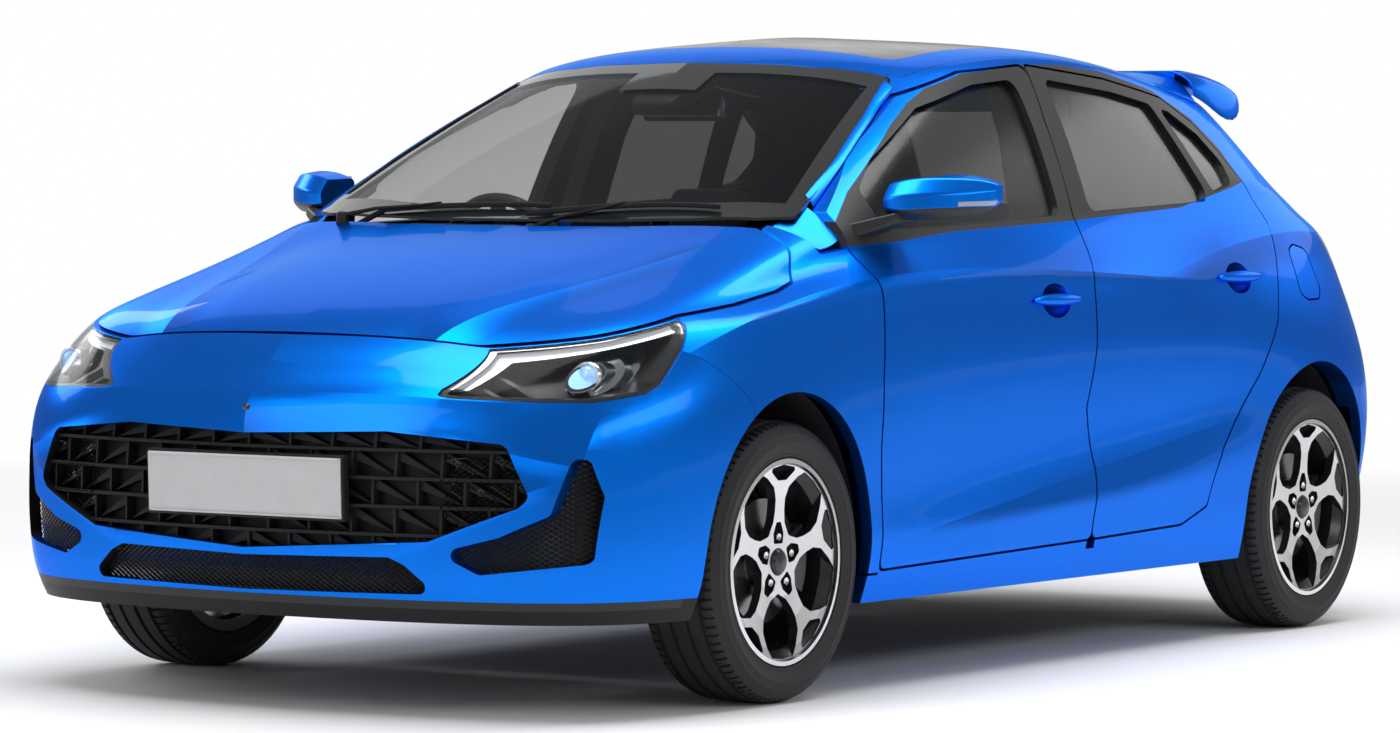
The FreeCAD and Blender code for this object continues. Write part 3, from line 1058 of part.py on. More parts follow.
def build_front_axle():
    knuckle = make_knuckle()
    save("knuckle_left", knuckle)
    save("knuckle_right", mirrored(knuckle))
    low_eye = front_rod(KINGPIN_Y, BALL_LOW - EYE_HALF, KINGPIN_Y, BALL_LOW + EYE_HALF, EYE_RADIUS)
    high_eye = front_rod(KINGPIN_Y, BALL_HIGH - EYE_HALF, KINGPIN_Y, BALL_HIGH + EYE_HALF, EYE_RADIUS)
    bore = front_rod(KINGPIN_Y, BALL_LOW - 30, KINGPIN_Y, BALL_HIGH + 30, KINGPIN_RADIUS + RUN_GAP)
    bracket = box(FRONT_AXLE - 20, FRONT_AXLE + 20, 600, KINGPIN_Y - 5,
                  BALL_HIGH - EYE_HALF, BALL_HIGH + EYE_HALF)
    strut = rod(STRUT_FOOT, STRUT_TOP, 22).fuse([rod(*SPRING, SPRING_RADIUS), bracket, high_eye])
    strut = tidy(strut.cut(bore))
    save("front_struts", strut, mirrored(strut))
    arm = box(FRONT_AXLE - 25, FRONT_AXLE + 25, ARM_FROM, KINGPIN_Y - 5,
              BALL_LOW - EYE_HALF, BALL_LOW + EYE_HALF)
    arm = arm.fuse(low_eye).cut(bore)
    length, half, thick = CROSS_HALF
    cross = box(FRONT_AXLE - length, FRONT_AXLE + length, -half, half, BALL_LOW - thick, BALL_LOW + thick)
    pad = box(FRONT_AXLE - length, FRONT_AXLE + length, PAD_Y - 25, PAD_Y + 25, BALL_LOW - thick,
              FLOOR_TOP - SEAT_GAP)
    save("front_subframe", tidy(cross.fuse([arm, mirrored(arm), pad, mirrored(pad)])))


def build_rear_axle():
    start, end, half, low, high = BEAM
    beam = box(REAR_AXLE + start, REAR_AXLE + end, -half, half, low, high)
    trail = box(REAR_AXLE - 50, BOOT_FRONT - HEEL - SEAT_GAP, *TRAIL_Y, *TRAIL_Z)
    hub = V(REAR_AXLE, WHEEL_Y, TYRE_RADIUS)
    stub = rod(V(REAR_AXLE, 600, TYRE_RADIUS), hub + V(0, STUB_REACH, 0), STUB_RADIUS)
    inner_end, radius = REAR_CARRIER
    carrier = rod(V(REAR_AXLE, inner_end, TYRE_RADIUS), hub + V(0, CARRIER_REACH, 0), radius)
    left_half = trail.fuse([stub, carrier, make_caliper().translated(hub)])
    save("rear_axle", tidy(beam.fuse([left_half, mirrored(left_half)])))


def build_engine():
    start, end, half, low, high = ENGINE
    engine = box(FRONT_AXLE + start, FRONT_AXLE + end, -half, half, low, high)
    start, end, half, low, high = MOUNTS
    mounts = box(FRONT_AXLE + start, FRONT_AXLE + end, SEAT_GAP - half, half - SEAT_GAP, low, high)
    save("engine_block", tidy(engine.fuse(mounts)))
    front_end, rear_end = PIPE_ENDS
    pipe = rod(V(front_end, PIPE_Y, PIPE_Z), V(rear_end, PIPE_Y, PIPE_Z), PIPE_RADIUS)
    link = rod(V(rear_end + 10, PIPE_Y, PIPE_Z), V(SILENCER_X, PIPE_Y, PIPE_Z + 75), PIPE_RADIUS)
    height = BOOT_TOP - SHEET - SEAT_GAP - SILENCER_RADIUS
    start, end = V(SILENCER_X, -SILENCER_HALF, height), V(SILENCER_X, SILENCER_HALF, height)
    silencer = rod(start, end, SILENCER_RADIUS)
    save("exhaust", tidy(pipe.fuse([link, silencer])))


def make_steering_wheel():
    pieces = [Part.makeCylinder(52, 34, V(0, 0, -17))]
    for turn in (180, 270, 360):
        spoke = Part.makeBox(36, 170, 14, V(-18, 0, -7))
        spoke.rotate(V(0, 0, 0), Z, turn)
        pieces.append(spoke)
    wheel = Part.makeTorus(172, 15).fuse(pieces)
    wheel.rotate(V(0, 0, 0), Y, -STEER_TILT)
    return tidy(wheel.translated(STEER_AT))


def build_cabin():
    dash = side_tool(DASH, -DASH_HALF, DASH_HALF, 30)
    save("dashboard", tidy(dash.fuse(rod(*COLUMN, 28))))
    save("steering_wheel", make_steering_wheel())
    seats = []
    for y in (-SEAT_Y, SEAT_Y):
        cushion = side_tool(FRONT_CUSHION, y - 240, y + 240, 30)
        back = side_tool(FRONT_BACK, y - 230, y + 230, 20)
        head = side_tool(HEADREST, y - 120, y + 120, 20)
        seats.append(tidy(cushion.fuse([back, head])))
    save("front_seats", *seats)
    bench = side_tool(REAR_CUSHION, -BENCH_HALF, BENCH_HALF, 30)
    save("rear_seat", tidy(bench.fuse(side_tool(REAR_BACK, -BENCH_HALF, BENCH_HALF, 20))))


def build():
    os.makedirs("parts", exist_ok=True)
    tools = {
        "bonnet": bonnet_tool(HALF_GAP),
        "lamp": side_tool(grown(LAMP, 0.8), 419.2, 1000, 8),
        "tail_lamp": side_tool(grown(TAIL_LAMP, 0.8), 399.2, 1000, 8),
        "front_arch": arch_tool(FRONT_AXLE, FRONT_ARCH, 0, 480, 1000),
        "rear_arch": arch_tool(REAR_AXLE, REAR_ARCH, 0, 480, 1000),
        "front_door": front_hole(),
        "rear_door": rear_hole(),
        "tailgate": tail_tool(TAILGATE, HALF_GAP),
        "front_liner": arch_tool(FRONT_AXLE, FRONT_ARCH, LINER_GAP + LINER + SEAT_GAP, 400, 827),
        "rear_liner": arch_tool(REAR_AXLE, REAR_ARCH, LINER_GAP + LINER + SEAT_GAP, 400, 787),
    }
    build_front(tools)
    build_doors()
    build_glass_and_roof()
    build_side(tools)
    save("floor", build_floor())
    build_wheels()
    build_front_axle()
    build_rear_axle()
    build_engine()
    build_cabin()


build()
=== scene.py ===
from functools import reduce
from math import atan2, cos, exp, floor, hypot, pi, radians, sin, tau

import bmesh
import bpy
from mathutils import Matrix, Vector
from mathutils.bvhtree import BVHTree


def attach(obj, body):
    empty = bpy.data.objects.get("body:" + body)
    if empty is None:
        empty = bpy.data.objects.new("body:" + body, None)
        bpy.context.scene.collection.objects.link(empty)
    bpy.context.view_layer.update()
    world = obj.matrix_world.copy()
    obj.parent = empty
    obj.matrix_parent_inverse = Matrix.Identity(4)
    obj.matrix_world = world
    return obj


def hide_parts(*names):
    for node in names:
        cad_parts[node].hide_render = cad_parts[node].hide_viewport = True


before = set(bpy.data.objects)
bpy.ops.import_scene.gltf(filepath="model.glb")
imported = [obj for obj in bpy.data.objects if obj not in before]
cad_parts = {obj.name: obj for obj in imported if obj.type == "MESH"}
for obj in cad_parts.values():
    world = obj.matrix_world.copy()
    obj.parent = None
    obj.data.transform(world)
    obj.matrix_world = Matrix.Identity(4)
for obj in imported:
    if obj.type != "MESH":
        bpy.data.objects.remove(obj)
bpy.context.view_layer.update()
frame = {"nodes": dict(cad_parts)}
nodes = frame["nodes"]

FRONT_AXLE, REAR_AXLE = 1.213, -1.357
WHEEL_Y, AXLE_Z = 0.768, 0.312
SIDES = (("left", 1), ("right", -1))
WHEELS = [(end + "_" + side, axle, sign) for end, axle in (("front", FRONT_AXLE), ("rear", REAR_AXLE))
          for side, sign in SIDES]


def metres(table):
    """A table that is written in millimetres, in metres."""
    return [metres(row) if isinstance(row, (tuple, list)) else row / 1000 for row in table]


# Materials


def math_node(operation, swapped=False):
    """A method of a value that adds one Math node."""
    def method(value, *others):
        values = (*others, value) if swapped else (value, *others)
        return value.nodes.add("Math", dict(enumerate(values)), operation=operation)
    return method


class Value:
    """A node's socket, with the arithmetic that adds Math nodes."""

    def __init__(self, nodes, socket):
        self.nodes = nodes
        self.socket = socket

    __add__ = __radd__ = math_node("ADD")
    __sub__, __rsub__ = math_node("SUBTRACT"), math_node("SUBTRACT", swapped=True)
    __mul__ = __rmul__ = math_node("MULTIPLY")
    __mod__, __abs__ = math_node("FLOORED_MODULO"), math_node("ABSOLUTE")
    __gt__, __lt__ = math_node("GREATER_THAN"), math_node("LESS_THAN")
    high, low = math_node("MAXIMUM"), math_node("MINIMUM")
    root, sign = math_node("SQRT"), math_node("SIGN")


class Nodes:
    """The nodes of a material or the world."""

    def __init__(self, owner):
        owner.use_nodes = True
        self.tree = owner.node_tree

    def add(self, kind, inputs=None, output=0, **settings):
        """A node: its settings first, then the values or links of its sockets."""
        node = self.tree.nodes.new("ShaderNode" + kind)
        for name, value in settings.items():
            setattr(node, name, value)
        for name, value in (inputs or {}).items():
            self.feed(node.inputs[name], value)
        return Value(self, node.outputs[output])

    def feed(self, socket, value):
        if isinstance(value, Value):
            self.tree.links.new(value.socket, socket)
        elif isinstance(value, tuple) and len(value) == 3 and socket.type == "RGBA":
            socket.default_value = (*value, 1)
        else:
            socket.default_value = value

    def rays(self, *kinds):
        """For each kind of ray, 1 where it looks."""
        return [self.add("LightPath", output="Is " + kind + " Ray") for kind in kinds]


class Finish(Nodes):
    """One material and the nodes behind its shader."""

    def __init__(self, name, **sockets):
        self.material = bpy.data.materials.new(name)
        super().__init__(self.material)
        self.shader = self.tree.nodes["Principled BSDF"]
        self.set(**sockets)

    def set(self, **sockets):
        for name, value in sockets.items():
            self.feed(self.shader.inputs[name.replace("_", " ")], value)

    def place(self, offset=(0, 0, 0), scale=(1, 1, 1)):
        spot = self.add("TexCoord", output="Object")
        return self.add("Mapping", {"Vector": spot, "Location": offset, "Scale": scale})

    def facing(self):
        return self.parts(self.add("TexCoord", output="Normal"))

    def parts(self, vector):
        return [self.add("SeparateXYZ", {0: vector}, axis) for axis in "XYZ"]

    def noise(self, vector, scale, detail=2.0, rough=0.5):
        inputs = {"Vector": vector, "Scale": scale, "Detail": detail, "Roughness": rough}
        return self.add("TexNoise", inputs, "Fac")

    def mix(self, factor, first, second):
        return self.add("Mix", {0: factor, 6: first, 7: second}, 2, data_type="RGBA")

    def blend(self, factor, first, second):
        return self.add("Mix", {0: factor, 2: first, 3: second}, data_type="FLOAT")

    def show(self, mask, other):
        """Another shader where the mask is 1."""
        mixed = self.add("MixShader", {0: mask, 1: Value(self, self.shader.outputs[0]), 2: other})
        self.feed(self.tree.nodes["Material Output"].inputs["Surface"], mixed)

    def over(self, mask, **sockets):
        """Another painted or moulded surface where the mask is 1."""
        sockets = {name.replace("_", " "): value for name, value in sockets.items()}
        self.show(mask, self.add("BsdfPrincipled", sockets))

    def bump(self, height, depth, strength=1.0):
        self.set(Normal=self.add("Bump", {"Height": height, "Distance": depth, "Strength": strength}))


def spread(value, low, high):
    """A 0 to 1 value turned into one between low and high."""
    return value * (high - low) + low


def cycle(value):
    """Back and forth between 0.5 and 0 with every whole number."""
    return abs((value % 1.0) - 0.5)


def line_height(across, start, end):
    """Height of the straight line through two places, at a distance along it."""
    slope = (end[1] - start[1]) / (end[0] - start[0])
    return across * slope + (start[1] - slope * start[0])


def within(across, up, outline):
    """1 inside a convex outline given anticlockwise, 0 outside."""
    reaches = []
    for (a, b), (c, d) in zip(outline, outline[1:] + outline[:1]):
        length = hypot(c - a, d - b)
        nx, nz = (d - b) / length, (a - c) / length
        reaches.append(across * nx + up * nz - (nx * a + nz * b))
    return reduce(Value.high, reaches) < 0.0


def within_any(across, up, outlines):
    """1 inside any of several convex outlines."""
    return reduce(Value.high, [within(across, up, outline) for outline in outlines])


def polynomial(across, factors):
    """A smooth line's height: factors from the highest power down."""
    return reduce(lambda height, factor: height * across + factor, factors[2:], across * factors[0] + factors[1])


def ridge(away, width, height):
    """A crest that falls away on both sides of a line, away being the distance from it."""
    part = (1 - abs(away) * (1 / width)).high(0.0)
    return part * part * height


def ramp(across, start, end):
    """0 before start, 1 past end, whichever is the greater."""
    return ((across - start) * (1 / (end - start))).high(0.0).low(1.0)


BLUE_DEEP, BLUE, BLUE_BRIGHT = (0.0, 0.085, 0.5), (0.0, 0.148, 0.74), (0.001, 0.215, 0.95)
EDGE_TINT = (0.02, 0.5, 1.0)      # what the paint's highlights turn to along the surface
# The paint's uniform settings, and how rough its flake makes it
PAINT_COAT = {"Metallic": 0.97, "Coat_Weight": 0.15, "Coat_Roughness": 0.04, "Specular_Tint": EDGE_TINT}
FLAKE_ROUGHNESS = (0.25, 0.35)
BLACK_PLASTIC = (0.012, 0.012, 0.013)

# Side windows with their black surround, in (x, z)
SURROUND_TOP = metres([
    (926, 985), (706, 1125), (403, 1281), (287, 1334), (186, 1372), (28, 1408), (-282, 1437), (-470, 1440),
    (-674, 1427), (-930, 1386), (-1107, 1317), (-1186, 1236), (-1195, 1150)])
BELT = metres([(926, 985), (384, 1033), (-189, 1057), (-772, 1089), (-1195, 1154)])

# Creases on the car's side, as height over the place along it
SHOULDER = (-0.0372511, -0.03360683, 0.03638806, 0.94281754)
HAUNCH = (-0.136401, -0.395828, 0.739284)
VALLEY = (-0.1353, 0.4383)


def side_creases(x, y, z):
    """Shoulder and haunch lines that stand out a little, and the hollow low on the doors."""
    shoulder = ridge(z - polynomial(x, SHOULDER), 0.095, 0.0115) * ramp(x, -0.75, -0.25)
    haunch = ridge(z - polynomial(x, HAUNCH), 0.09, 0.0105) * ramp(x, -0.5, -0.9)
    low = ridge(z - polynomial(x, VALLEY), 0.17, -0.0075) * ramp(x, -1.05, -0.45)
    return shoulder + haunch + low * ramp(x, 0.85, 0.35)


def bonnet_creases(x, y, z):
    """Two crests from the nose back to the windscreen's corners."""
    line = 0.367 + (1.874 - x) * 0.289
    return ridge(abs(y) - line, 0.095, 0.01) * ramp(x, 0.95, 1.2)


def nose_creases(x, y, z):
    """The fold across the nose, the frame round the upper grille and the fold down each corner."""
    side = abs(y)
    fold = ridge(z - (0.69 + (side - 0.3).high(0.0) * -0.05), 0.055, 0.0085) * ramp(side, 0.62, 0.45)
    top = ridge(z - (0.64 - (side - 0.3).high(0.0) * 0.22), 0.036, 0.008) * ramp(side, 0.34, 0.5)
    low = ridge(z - (0.372 + (side - 0.38).high(0.0) * 0.42), 0.034, 0.008) * ramp(side, 0.02, 0.15)
    corner = ridge(side - (0.735 + (z - 0.45) * 0.16), 0.05, 0.009) * ramp(z, 0.66, 0.58)
    near = side.low(0.1)
    middle = (near - near * near * 5.0) * 0.04 * (x > 1.95) * ramp(z, 0.54, 0.58)
    return fold + top * ramp(side, 0.76, 0.68) + low * ramp(side, 0.7, 0.6) + corner * ramp(z, 0.24, 0.32) + middle


def body_paint(name, surround=False, lower_black=None, creases=None):
    """Metallic blue under a clear coat with fine flake; the window surround and the inside are black."""
    finish = Finish(name, **PAINT_COAT)
    spot = finish.place()
    x, y, z = finish.parts(spot)
    nx, ny, nz = finish.facing()
    flake = finish.noise(spot, 1500, 1)
    cloud = finish.noise(spot, 2.2, 2)
    shade = finish.mix(flake, BLUE, BLUE_BRIGHT)
    shade = finish.mix(spread(cloud, 0.0, 0.25), shade, BLUE_DEEP)
    black = (ny * y.sign()) < -0.35
    if surround:
        first, second, *others = [line_height(x, *ends) for ends in zip(BELT, BELT[1:])]
        belt = reduce(Value.high, others, first.low(second))
        window = within(x, z, SURROUND_TOP + [(-1.195, 0.9), (0.926, 0.9)])
        black = black.high(window * (z > belt))
    if lower_black is not None:
        black = black.high(z < lower_black)
    grain = finish.noise(spot, 1200)
    finish.set(Base_Color=shade, Roughness=spread(flake, *FLAKE_ROUGHNESS))
    finish.over(black, Base_Color=spread(grain, 0.01, 0.02), Roughness=spread(grain, 0.42, 0.56),
                Specular_IOR_Level=0.25)
    if creases:
        finish.bump(creases(x, y, z), 1.0)
    else:
        finish.bump(finish.noise(spot, 240, 1), 0.00002, 0.25)
    return finish.material


def worn(name, wear, shades, rough, grain=None, **sockets):
    """A plain surface. wear is the scale and detail of what varies its shade and roughness;
    grain is the scale, depth and strength of its fine bumps."""
    finish = Finish(name, **sockets)
    spot = finish.place()
    change = finish.noise(spot, *wear)
    finish.set(Base_Color=finish.mix(change, *shades), Roughness=spread(change, *rough))
    if grain:
        scale, depth, strength = grain
        finish.bump(finish.noise(spot, scale, 2), depth, strength)
    return finish.material


def moulded(name, shade, rough, grain=1400, depth=0.00012):
    """Grained moulded plastic, a little lighter and duller where it has worn."""
    shades = (shade, tuple(c * 1.35 + 0.002 for c in shade))
    return worn(name, (9, 3), shades, (rough - 0.07, rough + 0.08), (grain, depth, 0.5), Specular_IOR_Level=0.16)


def splitter_plastic():
    """Grained black plastic, painted lighter along its top edge as a painted satin highlight."""
    finish = Finish("splitter_plastic", Specular_IOR_Level=0.25)
    spot = finish.place()
    x, y, z = finish.parts(spot)
    # painted highlight: the lighter colour along the top edge stands in for its satin sheen
    shade = finish.mix((z > 0.236) * (x > 1.6), (0.008, 0.008, 0.009), (0.03, 0.031, 0.032))
    finish.set(Base_Color=shade, Roughness=spread(finish.noise(spot, 12, 3), 0.4, 0.52))
    finish.bump(finish.noise(spot, 900), 0.0001, 0.4)
    return finish.material


def gloss_black():
    """Lacquered black plastic."""
    finish = Finish("gloss_black", Base_Color=(0.006, 0.006, 0.007), Coat_Weight=0.6, Coat_Roughness=0.05)
    finish.set(Roughness=spread(finish.noise(finish.place(), 30, 3), 0.12, 0.22))
    return finish.material


def glance(finish):
    """0 looked at square on, rising steeply to 1 along the surface."""
    facing = finish.add("LayerWeight", {"Blend": 0.5}, "Facing")
    return facing * facing * facing


def tinted_glass(name, clear, frit=None, rough=0.03):
    """A dark pane, clearer when looked at square on, with a black printed border where frit gives it."""
    finish = Finish(name, Base_Color=(0.01, 0.012, 0.014), IOR=1.6)
    spot = finish.place()
    alpha = glance(finish) * (0.6 * clear) + (1 - clear)
    if frit:
        alpha = alpha.high(frit(finish, *finish.parts(spot)))
    finish.set(Alpha=alpha, Roughness=spread(finish.noise(spot, 14), rough, rough * 1.5))
    return finish.material


def screen_border(finish, x, y, z):
    """The windscreen's printed border, wider at the top middle where the sensor housing sits."""
    side = abs(y)
    outer = (side - (0.69 - (z - 1.03) * 0.42)) > -0.04
    top = (x + side * side * 0.2) < 0.345
    bottom = (x + side * side * 0.32) > 0.965
    sensor = (side < 0.11) * (x < 0.43)
    return outer.high(top).high(bottom).high(sensor)


def clear_cover():
    """Clear plastic over the headlamps."""
    finish = Finish("clear_cover", Base_Color=(0.05, 0.055, 0.06), IOR=1.8)
    finish.set(Alpha=spread(glance(finish), 0.05, 0.55),
               Roughness=spread(finish.noise(finish.place(), 20), 0.05, 0.09))
    return finish.material


# Headlamp light bar in (x, z), in three straight lengths, and the frosted guide along its middle
LAMP_BAR = metres([
    [(1517, 841), (1534, 820), (1700, 784), (1700, 804)], [(1700, 804), (1700, 784), (1832, 756), (1838, 780)],
    [(1838, 780), (1828, 758), (1904, 698), (1927, 701)]])
LAMP_GUIDE = metres([
    [(1530, 835), (1537, 826), (1700, 790), (1700, 799)], [(1700, 799), (1700, 790), (1833, 762), (1837, 772)],
    [(1837, 772), (1832, 763), (1908, 702), (1918, 703)]])
# The round lens beside it: its place in (y, z), and the radii of the bright ring and of the eye
LENS = (0.703, 0.729)
RING_INNER, RING_OUTER, LENS_EYE = 0.03, 0.0455, 0.024


def lamp_bowl():
    """Inside of a headlamp: black bowl, bright light bar with a frosted guide, ring and eye."""
    finish = Finish("lamp_bowl")
    spot = finish.place()
    x, y, z = finish.parts(spot)
    nx, ny, nz = finish.facing()
    front = (nx + abs(ny)) > 0.45
    bar = within_any(x, z, LAMP_BAR) * front
    guide = within_any(x, z, LAMP_GUIDE) * front
    across, up = abs(y) - LENS[0], z - LENS[1]
    aside = across * across + up * up
    ring = (aside < RING_OUTER ** 2) * (aside > RING_INNER ** 2) * front
    eye = (aside < LENS_EYE ** 2) * front
    bright = bar.high(ring)
    shade = finish.mix(finish.noise(spot, 60), (0.012, 0.012, 0.014), (0.03, 0.031, 0.034))
    shade = finish.mix(bright, shade, (0.4, 0.42, 0.45))
    shade = finish.mix(guide, shade, (0.8, 0.82, 0.86))
    finish.set(Base_Color=finish.mix(eye, shade, (0.3, 0.6, 0.95)), Metallic=bright * (1 - guide),
               Roughness=spread(bright, 0.28, 0.16), Emission_Strength=1.0,
               Emission_Color=finish.mix(eye, finish.mix(guide, (0, 0, 0), (0.12, 0.13, 0.15)), (0.25, 0.5, 0.9)))
    return finish.material


def red_lens():
    """Smoked red lens with fine ribs and a brighter strip."""
    finish = Finish("red_lens", Coat_Weight=1.0, Coat_Roughness=0.02, Roughness=0.15)
    spot = finish.place()
    x, y, z = finish.parts(spot)
    rib = cycle(z * 160.0)
    lean = x + (z - 0.88) * 0.25
    strip = (lean < -1.775) * (lean > -1.812)
    dark = finish.mix(rib, (0.05, 0.002, 0.003), (0.1, 0.003, 0.004))
    finish.set(Base_Color=finish.mix(strip, dark, (0.75, 0.01, 0.01)), Emission_Strength=0.6,
               Emission_Color=finish.mix(strip, (0, 0, 0), (0.6, 0.01, 0.01)))
    finish.bump(rib, 0.0004, 0.5)
    return finish.material


def projector_glass():
    """Thick lens that glows a cold blue white."""
    finish = Finish("projector_glass", IOR=1.5, Roughness=0.04, Coat_Weight=1.0, Coat_Roughness=0.02)
    haze = finish.noise(finish.place(), 90)
    finish.set(Base_Color=finish.mix(haze, (0.2, 0.42, 0.8), (0.4, 0.62, 0.95)), Emission_Strength=0.55,
               Emission_Color=finish.mix(haze, (0.25, 0.5, 0.95), (0.45, 0.7, 1.0)))
    return finish.material


def metal(name, shade, rough, grain=(60, 60, 60), spread_by=0.1):
    """Cast, rolled or brushed metal; grain sets how fine it is along each axis."""
    finish = Finish(name, Metallic=1.0)
    streak = finish.noise(finish.place(scale=grain), 1.0, 4, 0.6)
    finish.set(Base_Color=finish.mix(streak, tuple(c * 0.75 for c in shade), shade),
               Roughness=spread(streak, rough, rough + spread_by))
    finish.bump(streak, 0.0001, 0.25)
    return finish.material


# Depths from the wheel's middle and radii that part its faces, disc and cap; turning marks per metre
FACE_DEPTH, DISC_DEPTH, CAP_RADIUS, DISC_RADIUS, TURNING_MARKS = 0.066, 0.034, 0.031, 0.14, 2400.0
THREADS = 650.0     # of seat cloth in a metre


def alloy_wheel(name, axle):
    """Gloss black alloy with machine-turned faces, and a bare iron brake disc behind."""
    finish = Finish(name)
    spot = finish.place(offset=(-axle, 0, -AXLE_Z))
    x, y, z = finish.parts(spot)
    nx, ny, nz = finish.facing()
    radius = (x * x + z * z).root()
    outward = ny * y.sign()
    depth = abs(y) - WHEEL_Y
    face = (outward > 0.8) * (depth > FACE_DEPTH) * (radius > CAP_RADIUS)
    disc = (depth < DISC_DEPTH) * (radius < DISC_RADIUS)
    mottle = finish.noise(finish.place(offset=(-axle, 0, -AXLE_Z), scale=(30, 30, 30)), 1.0, 3)
    lines = cycle(radius * TURNING_MARKS)
    silver = finish.mix(lines, (0.7, 0.71, 0.72), (0.86, 0.87, 0.88))
    iron = finish.mix(mottle, (0.16, 0.16, 0.165), (0.28, 0.28, 0.285))
    black = finish.mix(mottle, (0.01, 0.01, 0.011), (0.018, 0.018, 0.019))
    finish.set(Base_Color=finish.mix(face, finish.mix(disc, black, iron), silver), Metallic=face.high(disc) * 0.92,
               Roughness=finish.blend(face.high(disc), 0.22, spread(lines, 0.2, 0.3)))
    finish.bump(lines * face.high(disc), 0.00003, 0.3)
    return finish.material


def seat_cloth():
    """Woven cloth: warp and weft ribs a millimetre and a half apart."""
    finish = Finish("seat_cloth", Roughness=0.9, Sheen_Weight=0.4, Sheen_Roughness=0.4)
    x, y, z = finish.parts(finish.place())
    weave = cycle((x + z) * THREADS) + cycle(y * THREADS)
    finish.set(Base_Color=finish.mix(weave, (0.02, 0.02, 0.022), (0.044, 0.044, 0.0484)))
    finish.bump(weave, 0.0005, 0.6)
    return finish.material


def mirror_shell():
    """Door mirror: blue cap with a black lower shell, foot and arm, and a pale turn signal."""
    finish = Finish("mirror_shell", **PAINT_COAT)
    spot = finish.place()
    x, y, z = finish.parts(spot)
    flake = finish.noise(spot, 1500, 1)
    rise = z - (abs(y) - 0.8) * 0.06
    black = (rise < 1.083).high(abs(y) < 0.792)
    signal = (abs(rise - 1.09) < 0.005) * (abs(y) > 0.945) * (x > 0.53)
    finish.set(Base_Color=finish.mix(flake, BLUE, BLUE_BRIGHT), Roughness=spread(flake, *FLAKE_ROUGHNESS))
    finish.over(black.high(signal), Base_Color=finish.mix(signal, BLACK_PLASTIC, (0.42, 0.44, 0.46)),
                Roughness=spread(signal, 0.45, 0.15))
    return finish.material


PAINT = body_paint("blue_paint")
SIDE_PAINT = body_paint("blue_paint_and_window_surround", surround=True, creases=side_creases)
BONNET_PAINT = body_paint("blue_bonnet_paint", creases=bonnet_creases)
NOSE_PAINT = body_paint("blue_nose_paint", creases=nose_creases)
REAR_PAINT = body_paint("blue_paint_and_valance", lower_black=0.345)
BLACK = moulded("black_plastic", BLACK_PLASTIC, 0.5)
TRIM = moulded("satin_trim", (0.018, 0.018, 0.019), 0.38, 900, 0.00005)
SPLITTER = splitter_plastic()
UNDERSIDE = moulded("underbody_coat", (0.02, 0.02, 0.021), 0.75, 300, 0.0004)
GLOSS = gloss_black()
SCREEN_GLASS = tinted_glass("windscreen_glass", 0.93, screen_border)
DARK_GLASS = tinted_glass("privacy_glass", 0.3, rough=0.13)
SIDE_GLASS = tinted_glass("door_glass", 0.76, rough=0.16)
COVER = clear_cover()
ROOF_GLASS = moulded("roof_glass", (0.006, 0.006, 0.007), 0.16, 20, 0.00001)
PLATE = worn("blank_plate", (18, 3), ((0.5, 0.51, 0.52), (0.58, 0.59, 0.6)), (0.35, 0.48), Specular_IOR_Level=0.4)
EYE = projector_glass()
BOWL = lamp_bowl()
RED = red_lens()
RUBBER = worn("tyre_rubber", (22, 4), ((0.012, 0.012, 0.013), (0.028, 0.028, 0.029)), (0.55, 0.75),
              (700, 0.0001, 0.4), Specular_IOR_Level=0.35)
STEEL = metal("cast_steel", (0.16, 0.16, 0.17), 0.5)
PIPE = metal("exhaust_steel", (0.42, 0.4, 0.38), 0.35)
CHROME = metal("bright_chrome", (0.78, 0.79, 0.8), 0.08, (20, 20, 20), 0.04)
CLOTH = seat_cloth()
MIRROR = mirror_shell()
FRONT_ALLOY, REAR_ALLOY = alloy_wheel("front_alloy", FRONT_AXLE), alloy_wheel("rear_alloy", REAR_AXLE)

# Which nodes wear which finish, without their side; the others are plain paint
FINISHES = {}
for finish, names in (
        (SPLITTER, "splitter"), (BLACK, "grilles cowl dashboard"), (TRIM, "steering_wheel"), (UNDERSIDE, "floor"),
        (SCREEN_GLASS, "windscreen"), (SIDE_GLASS, "front_door_glass"), (ROOF_GLASS, "roof_glass"),
        (DARK_GLASS, "rear_door_glass tailgate_glass"), (BOWL, "headlamps"), (COVER, "headlamp_lenses"),
        (RED, "tail_lamps"), (CLOTH, "front_seats rear_seat"), (PIPE, "exhaust"), (MIRROR, "mirror"),
        (STEEL, "engine_block front_subframe front_struts rear_axle knuckle"), (RUBBER, "tyre_front tyre_rear"),
        (FRONT_ALLOY, "wheel_front"), (REAR_ALLOY, "wheel_rear"), (BONNET_PAINT, "bonnet"),
        (NOSE_PAINT, "front_bumper"), (REAR_PAINT, "rear_bumper"),
        (SIDE_PAINT, "front_wings body_side front_door rear_door")):
    FINISHES.update(dict.fromkeys(names.split(), finish))
for name, obj in nodes.items():
    for place in obj.material_slots:
        place.material = FINISHES.get(name.removesuffix("_left").removesuffix("_right"), PAINT)

# Modelling by hand

ACROSS = Matrix.Diagonal((1, -1, 1, 1))
FORWARD, UP = Vector((1, 0, 0)), Vector((0, 0, 1))


def to_mode(mode):
    """Into object or edit mode."""
    if not bpy.context.mode.startswith(mode):
        bpy.ops.object.mode_set(mode=mode)


def begin(name, add, **settings):
    """A primitive at its size and place, the only thing selected, with its place in its mesh."""
    to_mode("OBJECT")
    bpy.ops.object.select_all(action="DESELECT")
    add(**settings)
    piece = bpy.context.object
    piece.name = piece.data.name = name
    bpy.ops.object.transform_apply(location=True, rotation=True, scale=True)
    return piece


